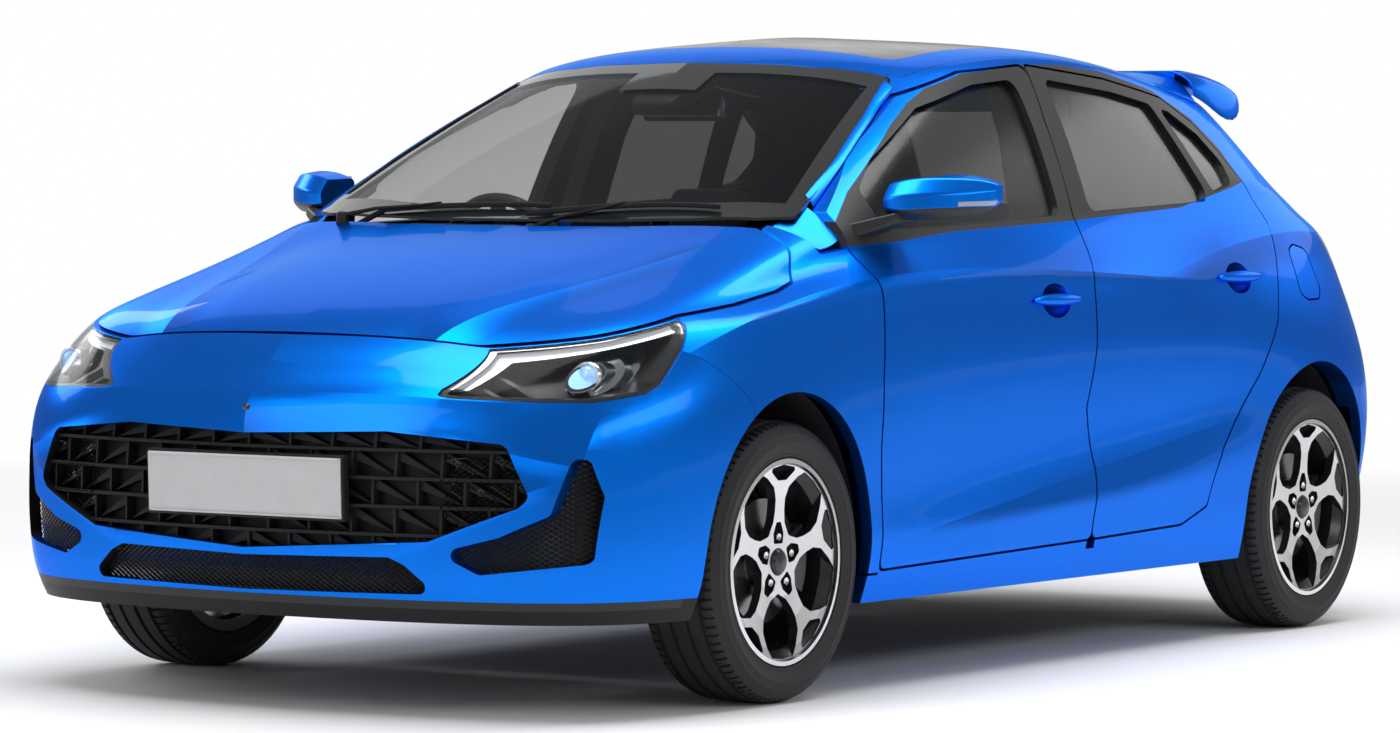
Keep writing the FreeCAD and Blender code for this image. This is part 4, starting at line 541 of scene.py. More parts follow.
def pick(piece, kind, wanted=lambda p, n: True):
    """Edit mode with the vertices, edges or faces selected whose place and direction are wanted."""
    to_mode("EDIT")
    bpy.ops.mesh.select_mode(type=kind)
    bpy.ops.mesh.select_all(action="DESELECT")
    mesh = bmesh.from_edit_mesh(piece.data)
    if kind == "EDGE":
        for edge in mesh.edges:
            start, end = (v.co for v in edge.verts)
            edge.select_set(wanted((start + end) / 2, (end - start).normalized()))
    else:
        for part in mesh.faces if kind == "FACE" else mesh.verts:
            part.select_set(wanted(part.calc_center_median() if kind == "FACE" else part.co, part.normal))
    mesh.select_flush_mode()
    bmesh.update_edit_mesh(piece.data)


def tip(piece, angle, centre, about="Y"):
    """Turns a whole piece about an axis through a place."""
    pick(piece, "VERT")
    bpy.ops.transform.rotate(value=angle, orient_axis=about, center_override=centre)


def press(inset, move):
    """The selected faces set in from their edge, then moved."""
    bpy.ops.mesh.inset(thickness=inset)
    bpy.ops.transform.translate(value=move)


def modify(piece, kind, **settings):
    """A modifier, set and applied."""
    live = piece.modifiers.new(kind.lower(), kind)
    for name, value in settings.items():
        setattr(live, name, value)
    bpy.ops.object.modifier_apply(modifier=live.name)


def finish_off(piece, *modifiers, angle=35.0):
    """Modifiers applied, normals outwards and smooth shading up to an angle."""
    to_mode("EDIT")
    bpy.ops.mesh.select_all(action="SELECT")
    bpy.ops.mesh.remove_doubles(threshold=0.00001)
    bpy.ops.mesh.normals_make_consistent(inside=False)
    to_mode("OBJECT")
    for kind, settings in modifiers:
        modify(piece, kind, **settings)
    bpy.ops.object.shade_smooth_by_angle(angle=radians(angle))
    return piece


def dress(piece, material=BLACK, body="body", slot_name="black_trim", *stands_for):
    """Gives a piece its finish, the body it rides on and the nodes it replaces; slot_name is not used."""
    piece.data.materials.clear()
    piece.data.materials.append(material)
    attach(piece, body)
    if stands_for:
        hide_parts(*stands_for)
    return piece


def dress_pair(piece, *dressing):
    """Dresses a left piece and its mirror image on the right."""
    dress(piece, *dressing)
    dress(copied(piece, piece.name.replace("left", "right"), ACROSS), *dressing)


def turned(name, outline, centre, axis, steps):
    """A lathe-turned piece: one point drawn out along the outline, then spun about the axis.
    The outline is in millimetres, (radius, distance along the axis)."""
    axis = Vector(axis)
    across = UP if abs(axis.z) < 0.9 else FORWARD
    across = (across - axis * across.dot(axis)).normalized()
    places = [Vector(centre) + across * r + axis * d for r, d in metres(outline)]
    piece = begin(name, bpy.ops.mesh.primitive_plane_add, size=0.002, location=places[0])
    to_mode("EDIT")
    bpy.ops.mesh.select_mode(type="VERT")
    bpy.ops.mesh.select_all(action="SELECT")
    bpy.ops.mesh.merge(type="CENTER")
    for here, following in zip(places, places[1:]):
        bpy.ops.mesh.extrude_vertices_move(TRANSFORM_OT_translate={"value": following - here})
    bpy.ops.mesh.select_all(action="SELECT")
    bpy.ops.mesh.spin(steps=steps, angle=tau, center=centre, axis=axis)
    bpy.ops.mesh.select_all(action="SELECT")
    bpy.ops.mesh.remove_doubles(threshold=0.00002)
    bpy.ops.mesh.normals_make_consistent(inside=False)
    return piece


def slab(name, centre, size, round_by=0.004, steps=3, lean=0.0):
    """A block pressed to its size with softly rounded edges, leaning about the car's width."""
    piece = begin(name, bpy.ops.mesh.primitive_cube_add, size=1.0, location=centre, scale=size)
    pick(piece, "EDGE")
    bpy.ops.mesh.bevel(offset=round_by, segments=steps, affect="EDGES", clamp_overlap=True)
    if lean:
        tip(piece, lean, centre)
    return piece


def laid(name, rows, thick):
    """A panel whose corners lie at rows of places, made solid with softened edges."""
    across = len(rows[0])
    panel = begin(name, bpy.ops.mesh.primitive_grid_add, x_subdivisions=across - 1, y_subdivisions=len(rows) - 1)
    for vert, place in zip(panel.data.vertices, [p for row in rows for p in row]):
        vert.co = place
    finish_off(panel, ("SOLIDIFY", {"thickness": thick, "offset": 0}),
               ("BEVEL", {"width": 0.0015, "segments": 2, "angle_limit": radians(50)}),
               ("SUBSURF", {"levels": 1, "render_levels": 1}))
    pick(panel, "FACE")
    bpy.ops.mesh.normals_make_consistent(inside=False)
    to_mode("OBJECT")
    return panel


def joined(name, pieces):
    """Several pieces as one mesh."""
    to_mode("OBJECT")
    bpy.ops.object.select_all(action="DESELECT")
    for piece in pieces:
        piece.select_set(True)
    bpy.context.view_layer.objects.active = pieces[0]
    bpy.ops.object.join()
    whole = bpy.context.object
    whole.name = whole.data.name = name
    return whole


def placed(name, data):
    """A new object in the scene."""
    obj = bpy.data.objects.new(name, data)
    bpy.context.scene.collection.objects.link(obj)
    return obj


def copied(piece, name, matrix):
    """Another of the same, with its own mesh moved by a matrix."""
    to_mode("OBJECT")
    other = placed(name, piece.data.copy())
    other.data.name = name
    other.data.transform(matrix)
    if matrix.determinant() < 0:
        other.data.flip_normals()
    return other


def solid_tree(*names):
    """What the named nodes' surfaces are, for setting pieces on them."""
    corners, faces = [], []
    for name in names:
        mesh = nodes[name].data
        start = len(corners)
        corners += [v.co.copy() for v in mesh.vertices]
        mesh.calc_loop_triangles()
        faces += [tuple(start + i for i in t.vertices) for t in mesh.loop_triangles]
    return BVHTree.FromPolygons(corners, faces)


def struck(tree, start, way, lift=0.0):
    """Where a line from start first meets a surface, lifted off it; None where it misses."""
    spot, normal = tree.ray_cast(Vector(start), way)[:2]
    return spot if spot is None else spot + normal * lift


# Tyres and wheel nuts

# Half section of the tyre in millimetres, (radius, distance from its middle): bead, wall, shoulder, grooves
TYRE_HALF = [
    (216.5, 80), (216.5, 88), (229, 88.5), (231.5, 90), (233, 95), (236.5, 96.5), (240, 95.2), (252, 99.5),
    (261, 101.6), (262.5, 102.8), (265.5, 102.8), (267, 101.8), (280, 100.3), (281.2, 101.2), (284, 100.7),
    (285.2, 99), (296, 93.2), (302, 88), (305.2, 83.8), (307.8, 78), (309.3, 70), (309.8, 65), (303.5, 63.5),
    (303.5, 56), (310.6, 54.5), (311.4, 27), (304.8, 25.5), (304.8, 17), (311.8, 15.5), (312, 0)]
TYRE_LINER = [(240, -84), (285, -85), (296, -52), (296, 52), (285, 85), (240, 84)]
TYRE_STEPS, STEPS_PER_SLOT = 270, 3
SLOT_INNER, SLOT_OUTER, SLOT_RADIUS, SLOT_DEPTH = 0.0655, 0.0865, 0.3025, 0.005
NUT_CIRCLE, NUT_RADIUS, NUT_LENGTH = 0.055, 0.0098, 0.016


def make_tyre():
    """Ribbed side walls, four grooves round the tread and slots across its shoulders."""
    whole = TYRE_HALF + [(r, -y) for r, y in TYRE_HALF[-2::-1]] + TYRE_LINER + TYRE_HALF[:1]
    hub = Vector((FRONT_AXLE, WHEEL_Y, AXLE_Z))
    tyre = turned("tyre_front_left_tread", whole, hub, (0, 1, 0), TYRE_STEPS)

    def slot_face(place, direction):
        arm = place - hub
        step = floor(atan2(arm.z, arm.x) / (tau / TYRE_STEPS))
        return (SLOT_INNER < abs(arm.y) < SLOT_OUTER and hypot(arm.x, arm.z) > SLOT_RADIUS
                and step % STEPS_PER_SLOT == 0)

    pick(tyre, "FACE", slot_face)
    bpy.ops.mesh.extrude_region_shrink_fatten(TRANSFORM_OT_shrink_fatten={"value": -SLOT_DEPTH})
    return finish_off(tyre, angle=30)


def make_nuts():
    """Five wheel nuts with chamfered heads, round the plain centre cap."""
    nuts = []
    for arm in range(5):
        turn = radians(90 + 72 * arm)
        centre = (FRONT_AXLE + NUT_CIRCLE * cos(turn), WHEEL_Y + 0.065, AXLE_Z + NUT_CIRCLE * sin(turn))
        nut = begin("nut", bpy.ops.mesh.primitive_cylinder_add, vertices=6, radius=NUT_RADIUS, depth=NUT_LENGTH,
                    location=centre, rotation=(pi / 2, 0, 0))
        pick(nut, "FACE", lambda p, n: n.y > 0.9)
        press(0.0015, (0, 0.0025, 0))
        press(0.003, (0, -0.0015, 0))
        nuts.append(finish_off(nut))
    return joined("nuts_front_left", nuts)


tyre, nuts = make_tyre(), make_nuts()
for corner, axle, sign in WHEELS:
    shift = Matrix.Translation((axle - FRONT_AXLE, 0, 0))
    if sign < 0:
        shift = ACROSS @ shift
    for piece, finish, *slots in ((tyre, RUBBER, "tyre", "tyre_" + corner), (nuts, CHROME, "alloy")):
        if corner != "front_left":
            piece = copied(piece, piece.name.replace("front_left", corner), shift)
        dress(piece, finish, "wheel_" + corner, *slots)

# Number plates

PLATE_SIZE = (0.52, 0.13)
REAR_PLATE_Z = 0.8


def make_plate(name, place, lean, toward, body):
    """Blank plate with a pressed border, on a black holder. lean tips its top backwards."""
    width, height = PLATE_SIZE
    holder = finish_off(slab(name + "_holder", place, (0.022, width + 0.012, height + 0.012), 0.004, 2, lean))
    face = Vector(place) + FORWARD * (toward * 0.0122)
    plate = slab(name, face, (0.003, width, height), 0.0012, 2, lean)
    pick(plate, "FACE", lambda p, n: n.x * toward > 0.9 and abs(p.y) < 0.05)
    bpy.ops.mesh.inset(thickness=0.005)
    press(0.0015, (-toward * 0.0008, 0, 0))
    dress(finish_off(plate), PLATE, body)
    dress(holder, BLACK, body)


make_plate("front_plate", (2.03, 0, 0.488), radians(-2.5), 1, "body")
spot, normal = solid_tree("tailgate", "rear_bumper").ray_cast(Vector((-3, 0, REAR_PLATE_Z)), FORWARD)[:2]
make_plate("rear_plate", (spot.x - 0.004, 0, REAR_PLATE_Z), atan2(normal.z, -normal.x), -1, "tailgate")

# Nets in the low grille and the intakes

CELL = (0.017, 0.0115)
NET_PROUD, NET_WIRE = 0.004, 0.0026     # off the sheet behind the opening, and the wire's thickness
mesh_sheet, nose_skin = solid_tree("grilles"), solid_tree("front_bumper")


def honeycomb(name, y0, y1, z0, z1):
    """A net of diamond cells laid on the sheet behind an opening, kept where the bumper doesn't hide it."""
    across, up_by = int((y1 - y0) / CELL[0]), int((z1 - z0) / CELL[1])
    centre = (2.15, (y0 + y1) / 2, (z0 + z1) / 2)
    net = begin(name, bpy.ops.mesh.primitive_grid_add, x_subdivisions=up_by, y_subdivisions=across, size=1.0,
                location=centre, rotation=(0, pi / 2, 0))
    pick(net, "FACE")
    bpy.ops.transform.resize(value=(1, across * CELL[0], up_by * CELL[1]), center_override=centre)
    bpy.ops.mesh.poke()
    pick(net, "EDGE", lambda p, n: abs(n.y) > 0.99 or abs(n.z) > 0.99)
    bpy.ops.mesh.dissolve_edges(use_verts=False)
    to_mode("OBJECT")
    mesh = bmesh.new()
    mesh.from_mesh(net.data)
    missed = []
    for corner in mesh.verts:
        spot = struck(mesh_sheet, corner.co, -FORWARD)
        if spot is None:
            missed.append(corner)
        else:
            corner.co.x = spot.x + NET_PROUD
    bmesh.ops.delete(mesh, geom=missed, context="VERTS")
    mesh.to_mesh(net.data)
    finish_off(net, ("WIREFRAME", {"thickness": NET_WIRE, "use_even_offset": True, "use_boundary": True}))
    mesh.clear()
    mesh.from_mesh(net.data)
    hidden = [f for f in mesh.faces if struck(nose_skin, f.calc_center_median(), FORWARD) is not None]
    bmesh.ops.delete(mesh, geom=hidden, context="FACES")
    mesh.to_mesh(net.data)
    mesh.free()
    return net


low_net = honeycomb("low_grille_net", -0.46, 0.46, 0.262, 0.345)
left_net = honeycomb("intake_net_left", 0.47, 0.785, 0.312, 0.56)
dress(low_net, GLOSS)
dress_pair(left_net, GLOSS)

# Headlamp lenses and the camera in the nose

PROJECTOR = Vector((1.83, 0.706, 0.729))
AIM = Vector((0.18, 0.006, 0)).normalized()
barrel_front = struck(solid_tree("headlamps"), PROJECTOR + AIM * 0.2 + Vector((0, 0.01, 0)), -AIM)
eye_centre = PROJECTOR + AIM * (barrel_front - PROJECTOR).dot(AIM)
dome = finish_off(turned("projector_left", [
    (0.2, 12), (10, 10.8), (18, 7.5), (24, 2.5), (26.5, -2), (26.5, -6), (0.2, -6)], eye_centre, AIM, 40))
bezel = finish_off(turned("projector_ring_left", [
    (27.5, 1), (29, 3.5), (32.5, 3.5), (34.5, 0.5), (34.5, -8), (27.5, -8), (27.5, 1)], eye_centre, AIM, 40))
dress_pair(dome, EYE, "body", "lamp")
dress_pair(bezel, CHROME, "body", "lamp")
camera_eye = turned("front_camera", [
    (0.2, 4), (4, 3.5), (6.5, 2), (8.5, 1.5), (9, -1), (9, -4), (0.2, -4)],
    struck(nose_skin, (3, 0, 0.655), -FORWARD), FORWARD, 24)
dress(finish_off(camera_eye), GLOSS)

# Wipers

SIDEWAYS = (pi / 2, 0, 0)      # turns a flat section to be drawn out across the car
screen_tree, rear_glass = solid_tree("windscreen", "cowl", "bonnet"), solid_tree("tailgate_glass", "tailgate")


def drawn_out(name, size, turn, places, narrow, bevel=0.002):
    """A flat section drawn out along a line of places, thinner towards its end. size is in x, y and z."""
    bar = begin(name, bpy.ops.mesh.primitive_plane_add, size=1.0, location=places[0], rotation=turn)
    pick(bar, "FACE")
    bpy.ops.transform.resize(value=size, center_override=places[0])
    shrink = narrow ** (1 / (len(places) - 1))
    for here, following in zip(places, places[1:]):
        bpy.ops.mesh.extrude_region_move(TRANSFORM_OT_translate={"value": following - here})
        bpy.ops.transform.resize(value=(shrink, shrink, shrink), center_override=following)
    return finish_off(bar, ("BEVEL", {"width": bevel, "segments": 2}))


def make_wiper(name, body, blade, arm, cap, way):
    """A wiper with a cap over its pivot. blade and arm are (section, places, narrowing)."""
    pieces = [drawn_out("bar", size, SIDEWAYS, places, narrow) for size, places, narrow in (blade, arm)]
    pieces.append(finish_off(turned("cap", cap, arm[1][0], way, 24)))
    dress(joined(name, pieces), BLACK, body)


def on_screen(x, y, lift):
    """A place over the windscreen or cowl, lifted clear of it."""
    return struck(screen_tree, (x, y, 3), -UP, lift)


def on_rear(y, z, lift):
    """A place on the tail, lifted clear of it."""
    return struck(rear_glass, (-3, y, z), FORWARD, lift)


for name, pivot, start, end in (("wiper_right", (1.01, -0.5), (0.985, -0.56), (0.96, 0.06)),
                                ("wiper_left", (1.025, 0.05), (1.0, 0.02), (0.925, 0.5))):
    line = []
    for part in (k / 8 for k in range(9)):
        x, y = [a + (b - a) * part for a, b in zip(start, end)]
        line.append(on_screen(x - sin(part * pi) * 0.012, y, 0.01))
    foot, middle = on_screen(*pivot, 0.016), line[4] + UP * 0.008
    path = [foot, foot.lerp(middle, 0.35) + UP * 0.006, foot.lerp(middle, 0.8), middle]
    make_wiper(name, "body", ((0.011, 1, 0.014), line, 0.8), ((0.016, 1, 0.01), path, 0.5),
               [(0.2, 10), (10, 8.5), (14, 3), (15, -20), (0.2, -20)], UP)

# Sensor housing and mirror behind the windscreen

under_screen = solid_tree("windscreen")


def below_screen(x, drop):
    """A place under the middle of the windscreen."""
    return struck(under_screen, (x, 0, 0), UP) - UP * drop


place = below_screen(0.385, 0.03)
sensor = slab("screen_sensor_housing", place, (0.15, 0.19, 0.04), 0.012, 4, radians(-28))
pick(sensor, "VERT", lambda p, n: p.x > place.x + 0.03)
bpy.ops.transform.resize(value=(1, 0.62, 1), center_override=place)
dress(finish_off(sensor))
place = below_screen(0.335, 0.085) - FORWARD * 0.03
mirror = slab("interior_mirror", place, (0.026, 0.235, 0.062), 0.012, 4, radians(12))
pick(mirror, "FACE", lambda p, n: n.x < -0.9)
bpy.ops.mesh.inset(thickness=0.004)
dress(finish_off(mirror), GLOSS)
dress(drawn_out("mirror_stalk", (0.022, 0.022, 1), (0, 0, 0),
                [place, place + Vector((0.01, 0, 0.03)), below_screen(0.345, 0.003)], 0.8, 0.004))

# Door mirrors' glass

for side, sign in SIDES:
    centre = (0.529, sign * 0.893, 1.118)
    glass = slab("mirror_glass_" + side, centre, (0.004, 0.15, 0.07), 0.0018, 2)
    tip(glass, -sign * atan2(0.053, 0.201), centre, "Z")
    dress(finish_off(glass), CHROME, "front_door_" + side)

# Windscreen pillars, the roof's rear corners and the spoiler's ends

# Along the pillar: (x, y of the screen's edge, y and z of the door's edge)
PILLAR_LINE = metres([
    (795, 661, 671, 1087), (740, 652, 664, 1120), (690, 648, 656, 1150), (640, 640, 650, 1180),
    (590, 628, 639, 1206), (540, 616, 627, 1232), (490, 604, 615, 1257), (440, 594, 604, 1280),
    (390, 580, 591, 1303), (340, 564, 575, 1327), (290, 552, 567, 1349), (250, 540, 560, 1366)])
PILLAR_FOOT = metres([
    [(935, 628, 1036), (935, 650, 1026), (930, 668, 1018)], [(890, 636, 1056), (890, 690, 1026), (890, 744, 994)],
    [(850, 640, 1076), (850, 695, 1044), (850, 748, 1000)], [(808, 644, 1097), (808, 700, 1062), (808, 750, 1020)]])
door_edge = solid_tree("windscreen", "body_side_left")


def upon(skin, x, y):
    """A place on a skin seen from above, or beside it where a seam is open."""
    for forward in (0.0, 0.012, 0.024, 0.04):
        for aside in (0.0, -0.008, 0.008, -0.016, -0.028):
            spot = struck(skin, (x + forward, y + aside, 3), -UP)
            if spot is not None and spot.z > 0.9:
                return Vector((x, y, spot.z))


def pillar_cover():
    """Painted cover over the screen pillar, from the screen's edge to the door."""
    rows = []
    for x, screen_y, door_y, door_z in PILLAR_LINE:
        inner = upon(door_edge, x, screen_y - 0.016) + UP * 0.0035
        outer = Vector((x, door_y - 0.0045, door_z + 0.001))
        rows.append([inner, inner.lerp(outer, 0.5) + Vector((0.001, 0.0015, 0.0025)), outer])
    foot = [[Vector(p) for p in row] for row in PILLAR_FOOT]
    return joined("pillar_cover_left", [laid("cover", rows, 0.005), laid("foot", foot, 0.005)])


# The spoiler's end, from its top round to its lower edge, in (x, then y and z of four places)
SPOILER_END = metres([
    (-1294, (470, 1441), (512, 1432), (540, 1408), (546, 1376)),
    (-1350, (470, 1444), (518, 1434), (549, 1404), (556, 1356)),
    (-1420, (470, 1438), (520, 1428), (552, 1396), (561, 1322)),
    (-1490, (470, 1427), (518, 1418), (549, 1388), (560, 1310)),
    (-1545, (470, 1415), (510, 1408), (538, 1384), (548, 1338)),
    (-1590, (462, 1402), (492, 1398), (512, 1388), (520, 1372))])
# How high the roof's rear corner rises towards the spoiler
ROOF_RISE = metres([(-1060, 1), (-1120, 4), (-1180, 12), (-1235, 22), (-1284, 29)])
# and the share of it at places across the roof
RISE_SHARES = ((0.1, 0.05), (0.22, 0.35), (0.34, 0.75), (0.44, 1.0), (0.5, 0.95), (0.535, 0.45), (0.556, 0.06))
roof_skin = solid_tree("roof", "body_side_left")


def roof_corner():
    """Swelling of the roof that leads up to the spoiler's end."""
    return laid("roof_corner_left", [[upon(roof_skin, x, y) + UP * (rise * share + 0.0005)
                                      for y, share in RISE_SHARES] for x, rise in ROOF_RISE], 0.005)


cover, corner_swell = pillar_cover(), roof_corner()
spoiler_end = laid("spoiler_end_left", [[Vector((x, y, z)) for y, z in spots] for x, *spots in SPOILER_END], 0.006)
for piece, body in ((cover, "body"), (corner_swell, "body"), (spoiler_end, "tailgate")):
    dress_pair(piece, PAINT, body, "paint")

# Brake lamp and rear wiper

dress(finish_off(slab("high_brake_lamp", (-1.6135, 0, 1.384), (0.008, 0.3, 0.012), 0.002, 2)), RED, "tailgate",
      "red_lamp")
pivot = on_rear(0.0, 1.045, 0.014)
line = [on_rear(0.03 - 0.3 * k / 6, 1.07 + 0.02 * sin(pi * k / 6), 0.009) for k in range(7)]
path = [pivot, pivot.lerp(line[3], 0.5) - FORWARD * 0.008, line[3]]
make_wiper("rear_wiper", "tailgate", ((0.012, 1, 0.01), line, 0.85), ((0.012, 1, 0.016), path, 0.6),
           [(0.2, 10), (12, 8), (17, 2), (18, -18), (0.2, -18)], -FORWARD)

# Seats

VOXEL, PRESSURE, SIMULATED_FRAMES = 0.011, 4.0, 20
SEAM_DEEP, SEAM_WIDE, SEAM_SIDE = 0.007, 0.006, 0.2     # SEAM_SIDE: how squarely a sewn place faces its side


def puffed(blank, cap):
    """A blank swollen like a stuffed cover: fine skin, cloth under pressure, no point moved past the cap."""
    to_mode("OBJECT")
    modify(blank, "REMESH", mode="VOXEL", voxel_size=VOXEL)
    rest = [v.co.copy() for v in blank.data.vertices]
    cloth = blank.modifiers.new("cover", "CLOTH")
    cloth.settings.use_pressure = True
    cloth.settings.uniform_pressure_force = PRESSURE
    cloth.settings.effector_weights.gravity = 0
    for step in range(1, SIMULATED_FRAMES + 1):
        bpy.context.scene.frame_set(step)
    bpy.ops.object.modifier_apply(modifier="cover")
    for vert, start in zip(blank.data.vertices, rest):
        move = vert.co - start
        if move.length > cap:
            vert.co = start + move * (cap / move.length)
    bpy.context.scene.frame_set(1)
    modify(blank, "SUBSURF", levels=1, render_levels=1)


def sewn(piece, facing, seams_at, across):
    """Presses sewn channels into the side that faces a way: lengthways at seams_at, and one where across,
    the distance from it, is nothing."""
    mesh = piece.data
    normals = [v.normal.copy() for v in mesh.vertices]
    for vert, normal in zip(mesh.vertices, normals):
        if normal.dot(facing) > SEAM_SIDE:
            away = min([abs(vert.co.y - at) for at in seams_at] + [abs(across(vert.co))])
            vert.co -= normal * (exp(-(away / SEAM_WIDE) ** 2) * SEAM_DEEP)
    bpy.ops.object.shade_smooth_by_angle(angle=radians(60))
    return piece


def blank_block(name, centre, size):
    """A block with enough corners to be shaped."""
    block = begin(name, bpy.ops.mesh.primitive_cube_add, size=1.0, location=centre, scale=size)
    pick(block, "FACE")
    bpy.ops.mesh.subdivide(number_cuts=5)
    return block


def seat_cushion(name, centre, size, bolster, seams_at):
    """A cushion with raised sides and sewn channels."""
    block = blank_block(name, centre, size)
    top = centre[2] + size[2] / 2 - 0.001
    pick(block, "VERT", lambda p, n: p.z > top and abs(p.y - centre[1]) > size[1] * 0.31)
    bpy.ops.transform.translate(value=(0, 0, bolster))
    pick(block, "VERT", lambda p, n: p.x > centre[0] + size[0] / 2 - 0.001)
    bpy.ops.transform.resize(value=(1, 0.96, 0.86), center_override=centre)
    tip(block, radians(-4), centre)
    puffed(block, 0.016)
    return sewn(block, UP, seams_at, lambda p: p.x - centre[0] - size[0] * 0.16)


def seat_back(name, foot, head, width, thick, bolster=0, seams_at=(), shoulder=0.82):
    """A backrest from its foot to its head, both (x, y, z) in the middle of its thickness."""
    foot, head = Vector(foot), Vector(head)
    centre, length = (foot + head) / 2, (head - foot).length
    lean = atan2(foot.x - head.x, head.z - foot.z)
    block = blank_block(name, centre, (thick, width, length))
    front = centre.x + thick / 2 - 0.001
    pick(block, "VERT", lambda p, n: p.x > front and abs(p.y - centre.y) > width * 0.32 and p.z < centre.z + 0.1)
    bpy.ops.transform.translate(value=(bolster, 0, 0))
    pick(block, "VERT", lambda p, n: p.z > centre.z + length * 0.45)
    bpy.ops.transform.resize(value=(0.9, shoulder, 1), center_override=centre)
    tip(block, lean, centre)
    puffed(block, 0.014)
    ahead = Vector((cos(lean), 0, sin(lean)))
    rise = (head - foot).normalized()
    return sewn(block, ahead, seams_at, lambda p: (p - centre).dot(rise) - length * 0.22)


def fit_seat(node, covers, base=None, pair=False):
    """A seat's pieces, and for a pair their mirror images on the left. covers are (piece, how full it is)."""
    pieces = [(piece, CLOTH, "cloth", fill) for piece, fill in covers]
    if base:
        pieces.append((base, BLACK, "black_trim", None))
    for side in ("right", "left") if pair else ("right",):
        for piece, material, slot_name, fill in pieces:
            if side == "left":
                piece = copied(piece, piece.name.replace("right", side), ACROSS)
            dress(piece, material, "body", slot_name, node)


SEAT_Y = -0.37
cushion = seat_cushion("front_cushion_right", (0.03, SEAT_Y, 0.343), (0.4, 0.44, 0.105), 0.028,
                       (SEAT_Y - 0.14, SEAT_Y + 0.14))
back = seat_back("front_backrest_right", (-0.192, SEAT_Y, 0.4), (-0.345, SEAT_Y, 0.955), 0.42, 0.082, 0.03,
                 (SEAT_Y - 0.13, SEAT_Y + 0.13))
rest = seat_back("front_headrest_right", (-0.366, SEAT_Y, 0.985), (-0.392, SEAT_Y, 1.125), 0.215, 0.062,
                 shoulder=0.85)
plinth = finish_off(slab("front_seat_base_right", (0.02, SEAT_Y, 0.258), (0.4, 0.4, 0.06), 0.012))
fit_seat("front_seats", ((cushion, 0.7), (back, 0.7), (rest, 0.8)), plinth, pair=True)
bench = seat_cushion("rear_cushion", (-0.765, 0, 0.343), (0.36, 1.06, 0.105), 0.0, (-0.185, 0.185))
bench_back = seat_back("rear_backrest", (-0.945, 0, 0.4), (-1.128, 0, 0.95), 1.05, 0.075, 0, (-0.185, 0.185), 0.97)
bench_base = finish_off(slab("rear_seat_base", (-0.765, 0, 0.258), (0.36, 1.06, 0.06), 0.012))
fit_seat("rear_seat", ((bench, 0.6), (bench_back, 0.6)), bench_base)
rear_rest = seat_back("rear_headrest_right", (-1.135, -0.33, 0.97), (-1.16, -0.33, 1.06), 0.215, 0.055, shoulder=0.9)
fit_seat("rear_seat", ((rear_rest, 0.8),), pair=True)

# Dashboard and steering wheel trim

dress(finish_off(slab("instrument_hood", (0.655, SEAT_Y, 1.005), (0.15, 0.34, 0.06), 0.02, 4, radians(6))))
screen = slab("dash_screen", (0.615, 0, 1.015), (0.016, 0.225, 0.125), 0.006, 3, radians(-10))
pick(screen, "FACE", lambda p, n: n.x < -0.8)
bpy.ops.mesh.inset(thickness=0.006)
dress(finish_off(screen), GLOSS)
boss = slab("steering_wheel_boss", (0.478, SEAT_Y, 0.954), (0.03, 0.125, 0.105), 0.014, 4, atan2(-55, 120))
dress(finish_off(boss), TRIM, "steering_wheel")

# Camera, floor and light

YAW, PITCH, ROLL = 0.5722602, 0.03466151, 0.00686477
FOCAL_PIXELS, PHOTO_WIDTH, SENSOR = 5437.06, 1400, 36
ahead = Vector((-cos(YAW) * cos(PITCH), -sin(YAW) * cos(PITCH), -sin(PITCH)))
right = ahead.cross(UP).normalized()
above = right.cross(ahead)
right, above = right * cos(ROLL) + above * sin(ROLL), above * cos(ROLL) - right * sin(ROLL)
camera = placed("camera", bpy.data.cameras.new("camera"))
camera.data.sensor_width = SENSOR
camera.data.lens = FOCAL_PIXELS * SENSOR / PHOTO_WIDTH
camera.data.clip_end = 200
camera.matrix_world = Matrix.Translation((11.33887, 7.15534, 1.15443)) @ Matrix(
    (right, above, -ahead)).transposed().to_4x4()
bpy.context.scene.camera = camera

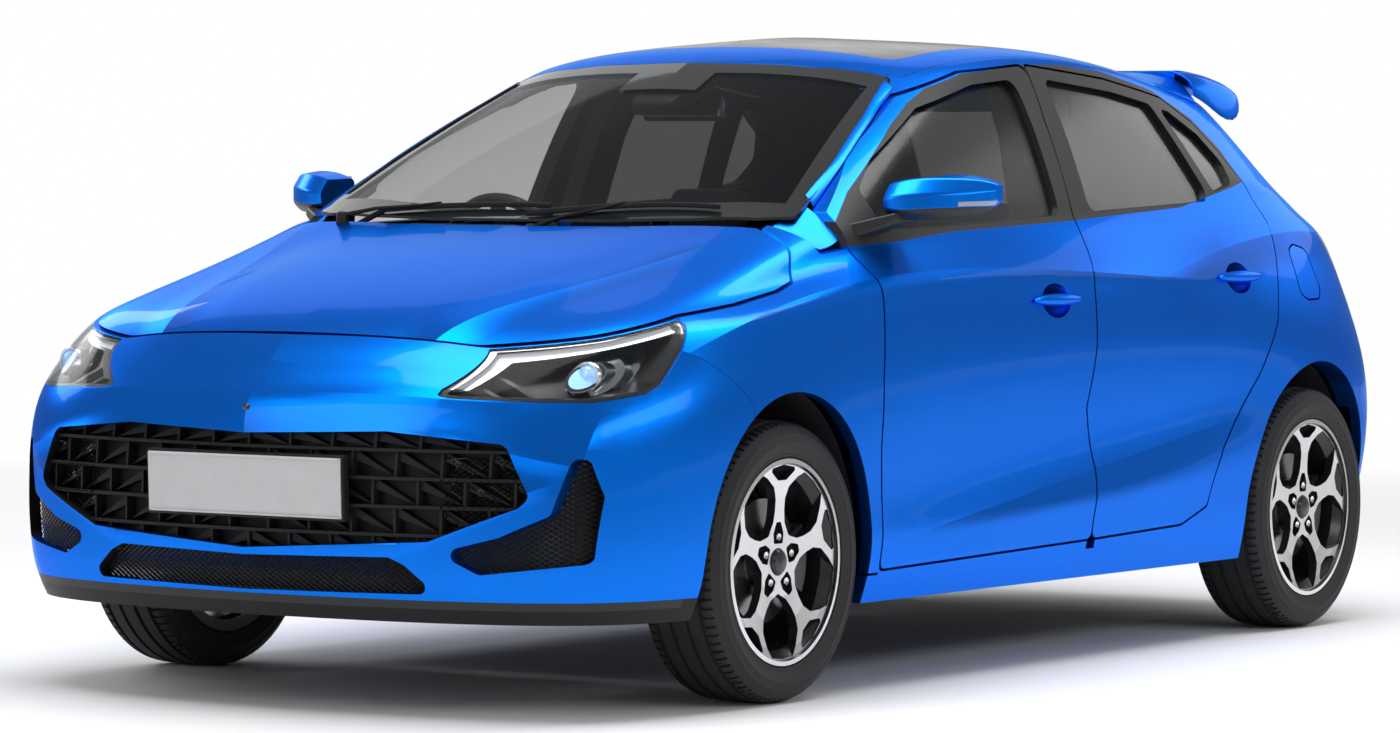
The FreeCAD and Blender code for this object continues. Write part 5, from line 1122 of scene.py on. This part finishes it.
# Lights: name, place, what they face, size and power
for name, place, aim, size, power in (
        ("overhead", (0.3, 0.6, 5.0), (0, 0, 0.6), (7.5, 2.2), 300),
        ("left_bank", (0.5, 9.0, 4.2), (0, 0, 0.9), (9.0, 1.6), 150),
        ("front_bank", (9.5, -2.5, 4.4), (1.5, 0, 0.6), (3.0, 6.0), 150),
        ("right_bank", (-1.5, -8.0, 4.0), (0, 0, 0.7), (7.0, 1.6), 160),
        ("back_bank", (-8.5, 1.5, 3.6), (-1.5, 0, 0.8), (6.0, 2.4), 75),
        ("far_card", (-5.5, -5.2, 4.8), (1.2, 0, 0.9), (8.0, 4.5), 75)):
    lamp = bpy.data.lights.new(name, "AREA")
    lamp.shape = "RECTANGLE"
    lamp.size, lamp.size_y = size
    lamp.energy = power
    light = placed(name, lamp)
    light.location = place
    light.rotation_euler = (Vector(aim) - Vector(place)).to_track_quat("-Z", "Y").to_euler()

# How far from the middle the floor turns white: to the eye, and in what mirrors it
FLOOR_FADE, MIRRORED_FADE = (4.5, 9.0), (9.0, 18.0)
floor_mesh = bpy.data.meshes.new("studio_floor")
floor_mesh.from_pydata([(-40, -40, 0), (40, -40, 0), (40, 40, 0), (-40, 40, 0)], [], [(0, 1, 2, 3)])
studio_floor = placed("studio_floor", floor_mesh)
pale = Finish("pale_floor", Base_Color=(0.9, 0.9, 0.91), Roughness=0.8, Specular_IOR_Level=0.2)
x, y, z = pale.parts(pale.place())
out = (x * x + y * y).root()
away, far = [pale.add("MapRange", {"Value": out, "From Min": near, "From Max": end})
             for near, end in (FLOOR_FADE, MIRRORED_FADE)]
ray, gloss, clear = pale.rays("Camera", "Glossy", "Transmission")
white = pale.add("Emission", {"Color": (1.0, 1.0, 1.0), "Strength": 1.0})
pale.show((away * ray.high(clear)).high(far * gloss), white)
floor_mesh.materials.append(pale.material)

AMBIENT = 0.36      # how bright the white surroundings are as a light; the eye sees them at 1
world = bpy.data.worlds.new("studio")
bpy.context.scene.world = world
sky = Nodes(world)
seen, through = sky.rays("Camera", "Transmission")
background = sky.tree.nodes["Background"].inputs
sky.feed(background["Strength"], spread(seen.high(through), AMBIENT, 1.0))
sky.feed(background["Color"], (1, 1, 1))
bpy.context.scene.view_settings.view_transform = "Standard"
